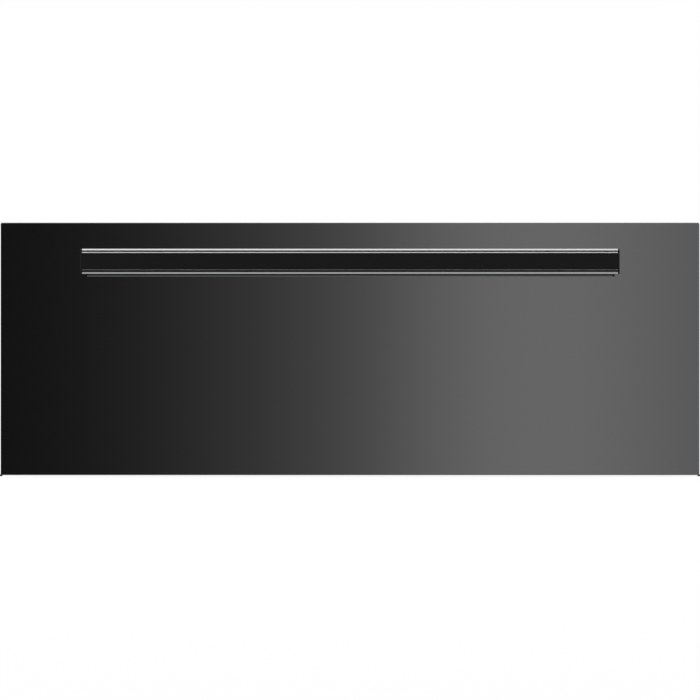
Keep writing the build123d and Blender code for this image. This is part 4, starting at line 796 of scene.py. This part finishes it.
# ---- Temperature probe
# A closed tube of stainless steel with a rounded tip, pushed through the rear of the cavity up to
# its collar.
probe_radius = 0.0024
probe_tip_round = 0.0016
collar_reach = 0.023  # from the tip
collar_radius = 0.0049
collar_thickness = 0.001
tinted_end = 0.020  # from the tip
low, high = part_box("temperature_probe")

# Stainless tube: drawn and polished, bright, with a straw tint of heat at its tip
probe_steel, tree, place = start_material("polished stainless tube")
axes = add_node(tree, "SeparateXYZ", {0: place})
warm = add_node(tree, "MapRange", {"Value": (axes, "Y"), "From Min": low.y,
                                   "From Max": low.y + tinted_end})
marks = add_node(tree, "TexNoise", {"Vector": place, "Scale": per_metre(2), "Detail": 3.0})
rough = add_node(tree, "MapRange", {"Value": (marks, 0), "To Min": 0.14, "To Max": 0.26})
finish_material(tree, (warm, 0), ("#b9a88b", "#c2c0bc"), (rough, 0), {"Metallic": 1.0})
collar_y = low.y + collar_reach
profile = [(low.y + probe_tip_round * (1 - cos(radians(turn))),
            probe_radius - probe_tip_round * (1 - sin(radians(turn))))
           for turn in (0, 22.5, 45, 67.5, 90)]
profile += [(collar_y, probe_radius), (collar_y, collar_radius),
            (collar_y + collar_thickness, collar_radius),
            (collar_y + collar_thickness, probe_radius), (high.y, probe_radius)]
rings = turned_rings(profile, (low.x + high.x) / 2, (low.z + high.z) / 2, sides=24)
probe = mesh_piece("probe_tube", [ring_skin(rings)], probe_steel, smooth_below=35)
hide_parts("temperature_probe")
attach(probe, "cabinet")

# ---- Telescopic slides
# Outer, middle and inner members, roll formed from zinc plated strip, one set on each side. The
# inner ones are riveted to the side rails.

# Strip: zinc plated before rolling, so the rolls leave fine lines along it, with a film of grease
slide_zinc, tree, place = start_material("rolled zinc plated strip")
rolled = add_node(tree, "Mapping", {"Vector": place, "Scale": per_metre(0.9, 120, 0.9)})
lines = add_node(tree, "TexNoise", {"Vector": (rolled, 0), "Scale": 1.0, "Detail": 3.0})
grease = add_node(tree, "TexNoise", {"Vector": place, "Scale": per_metre(35), "Detail": 3.0})
rough = add_node(tree, "MapRange", {"Value": (grease, 0), "From Min": 0.35, "From Max": 0.65,
                                    "To Min": 0.2, "To Max": 0.36})
finish_material(tree, (lines, 0), ("#b3b9be", "#d0d4d7"), (rough, 0), {"Metallic": 1.0},
                relief=((lines, 0), 0.2, 0.06))
dress(slide_zinc, *["slide_" + member + "_" + side for member in ("outer", "middle", "inner")
                    for side in ("left", "right")])

# ---- Ball cages
# A folded strip of thin steel between two members of each slide. Its two edges space four bearing
# balls each, which run in the races above and below.
cage_gauge = 0.0006
ball_radius = 0.00238
ball_pitch = 0.070
ball_count = 4
ball_sides = 20
cavity_side = 0.33505  # from the middle plane to the wall of the cavity
# Each cage: its web's and its tab's place out from the cavity wall, its tab's height, and its balls
cages = {"outer": (0.0016, 0.00553, 0.0183, 0.00363, 0.0186),
         "inner": (0.0046, 0.01028, 0.01392, 0.00888, 0.01557)}


def ball_rings(x, y, z):
    """Rings of a bearing ball, stacked upwards."""
    rings = []
    for latitude in range(-80, 81, 20):
        radius = ball_radius * cos(radians(latitude))
        lift = ball_radius * sin(radians(latitude))
        rings.append([(x + radius * a, y + radius * b, z + lift) for a, b in circle(ball_sides)])
    return rings


# Bearing steel: ground and polished balls, bright and a little greasy, in a strip of like colour
ball_steel = uneven_finish("polished bearing steel", (6, 6, 6), 3.0, ("#a8aaad", "#cfd1d3"),
                           (0.06, 0.2), {"Metallic": 1.0})

for level, (web, tab_end, tab, ball_out, ball_up) in cages.items():
    for side, sign in (("left", 1), ("right", -1)):
        node = "ball_cage_" + level + "_" + side
        low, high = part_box(node)
        middle = (low + high) / 2
        top = tab + cage_gauge
        section = [(web, -top), (tab_end, -top), (tab_end, -tab), (web + cage_gauge, -tab),
                   (web + cage_gauge, tab), (tab_end, tab), (tab_end, top), (web, top)]
        strip = [[(sign * (out - cavity_side), y, middle.z + up) for out, up in section]
                 for y in (low.y, high.y)]
        skins = [ring_skin(strip)]
        for index in range(ball_count):
            y = middle.y + (index - (ball_count - 1) / 2) * ball_pitch
            for up in (-ball_up, ball_up):
                ball = ball_rings(sign * (ball_out - cavity_side), y, middle.z + up)
                skins.append(ring_skin(ball))
        cage = mesh_piece("balls_and_cage_" + level + "_" + side, skins, ball_steel,
                          smooth_below=40)
        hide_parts(node)
        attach(cage, "cage_" + level + "_" + side)

# ---- Release levers
# A moulded arm on a pin in each inner member; a finger lifts its hook over the stop, and the drawer
# comes out.

# Nylon: moulded black with glass fibre in it, matt, with faint flow lines along the arm
nylon = uneven_finish("glass filled black nylon", (2, 16, 2), 5.0, ("#2a2a2b", "#39393b"),
                      (0.45, 0.65), {"IOR": 1.53}, relief=(0.3, 0.1))
dress(nylon, "release_lever_left", "release_lever_right")

# ---- Drawer pan
# One deep drawing of 1 mm stainless steel with a flat rim, which hangs on the rails by its rim. The
# walls lean in a little, and they turn into the floor in an even round.
pan_sheet = 0.001
pan_lean = tan(radians(3.0))
pan_rim_width = 0.016
pan_rim_corner = 0.019
pan_rim_edge = 0.0003
pan_mouth_corner = 0.038
pan_mouth_round = 0.002
pan_mouth_turn = 87  # degrees, a right angle less the lean of the walls
pan_mouth_steps = 4
pan_floor_round = 0.014
pan_floor_steps = 8
low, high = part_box("drawer_pan")
middle = (low + high) / 2
rim_half = ((high.x - low.x) / 2, (high.y - low.y) / 2)


def pan_ring(inset, z, corner=None):
    """A ring round the pan; inset is measured inwards from the outside of its mouth."""
    half_x, half_y = [half - pan_rim_width - inset for half in rim_half]
    corner = corner or pan_mouth_corner - inset
    return [(middle.x + a, middle.y + b, z)
            for a, b in rounded_outline(half_x, half_y, corner, steps=12)]


def pan_wall(inset, floor_z, floor_round):
    """Rings up one side of the sheet, from the floor to the mouth."""
    rings = []
    for step in range(pan_floor_steps, -1, -1):
        turn = radians(90 * step / pan_floor_steps)
        z = floor_z + floor_round * (1 - sin(turn))
        rings.append(pan_ring(inset + pan_lean * (high.z - z) + floor_round * (1 - cos(turn)),
                              z))
    return rings


# Up the outside, out below the rim and back over it, round the mouth and down the inside
rings = pan_wall(0.0, low.z, pan_floor_round)
rings.append(pan_ring(pan_lean * pan_sheet, high.z - pan_sheet))
for z, edge in ((high.z - pan_sheet, pan_rim_edge), (high.z - pan_sheet + pan_rim_edge, 0.0),
                (high.z - pan_rim_edge, 0.0), (high.z, pan_rim_edge)):
    rings.append(pan_ring(edge - pan_rim_width, z, pan_rim_corner))
for step in range(pan_mouth_steps + 1):
    turn = radians(pan_mouth_turn * step / pan_mouth_steps)
    rings.append(pan_ring(pan_sheet - pan_mouth_round * (1 - sin(turn)),
                          high.z - pan_mouth_round * (1 - cos(turn))))
rings += reversed(pan_wall(pan_sheet, low.z + pan_sheet, pan_floor_round - pan_sheet))

# Stainless steel: drawn and satin polished, with the faint upright streaks of drawing on its walls
pan_finish = brushed_sheet("satin drawn stainless", (60, 1.2, 60), ("#b7b5b1", "#cccac6"),
                           0.24, 0.34)
tub = mesh_piece("drawn_pan", [ring_skin(rings)], pan_finish, smooth_below=50)
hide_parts("drawer_pan")
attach(tub, "drawer")

# ---- Wire rack
# A ring of 5 mm wire with eleven 3.2 mm bars across it and four bent feet, resistance welded, then
# chromed. It lies loose on the floor of the pan.
ring_wire = 0.0025
bar_wire = 0.0016
wire_sides = 16
bar_count = 11
bar_overhang = 0.001
bar_end_radius = 0.0009
bar_end_round = 0.0007
weld_sink = 0.0006  # how far a bar sinks into the ring when it is welded
ring_corner = 0.030
foot_width = 0.024
foot_inset = 0.070
foot_bend = 0.0045
low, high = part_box("wire_rack")
middle = (low + high) / 2
half_x = (high.x - low.x) / 2 - ring_wire
half_y = (high.y - low.y) / 2 - ring_wire
bar_z = high.z - bar_wire
ring_z = bar_z - bar_wire - ring_wire + weld_sink
foot_z = low.z + ring_wire
ring_line = [Vector((middle.x + a, middle.y + b, ring_z))
             for a, b in rounded_outline(half_x, half_y, ring_corner, steps=12)]
skins = [ring_skin(wire_rings(ring_line, ring_wire, UP, wire_sides, closed=True), closed=True)]
reach = half_y + bar_overhang
for index in range(bar_count):
    x = middle.x + (half_x - ring_corner) * (2 * index / (bar_count - 1) - 1)
    profile = [(middle.y - reach, bar_end_radius), (middle.y - reach + bar_end_round, bar_wire),
               (middle.y + reach - bar_end_round, bar_wire), (middle.y + reach, bar_end_radius)]
    skins.append(ring_skin(turned_rings(profile, x, bar_z, sides=12)))
for side_x, side_y in ((-1, -1), (-1, 1), (1, -1), (1, 1)):
    left = middle.x + side_x * (half_x - foot_inset) - foot_width / 2
    y = middle.y + side_y * half_y
    right = left + foot_width
    corners = [(left, y, ring_z), (left, y, foot_z), (right, y, foot_z), (right, y, ring_z)]
    skins.append(ring_skin(wire_rings(bent_path(corners, foot_bend, steps=5), ring_wire,
                                      Vector((0, 1, 0)), wire_sides)))

# Chrome: plated over polished wire, mirror bright, dulled a little where it rubs
chrome = uneven_finish("chromed steel wire", (12, 12, 12), 4.0, ("#c4c6ca", "#dcdee0"),
                       (0.05, 0.2), {"Metallic": 1.0}, contrast=(0.4, 0.75))
grid = mesh_piece("plated_rack", skins, chrome, smooth_below=40)
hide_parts("wire_rack")
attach(grid, "rack")

# ---- Finish
low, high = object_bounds()
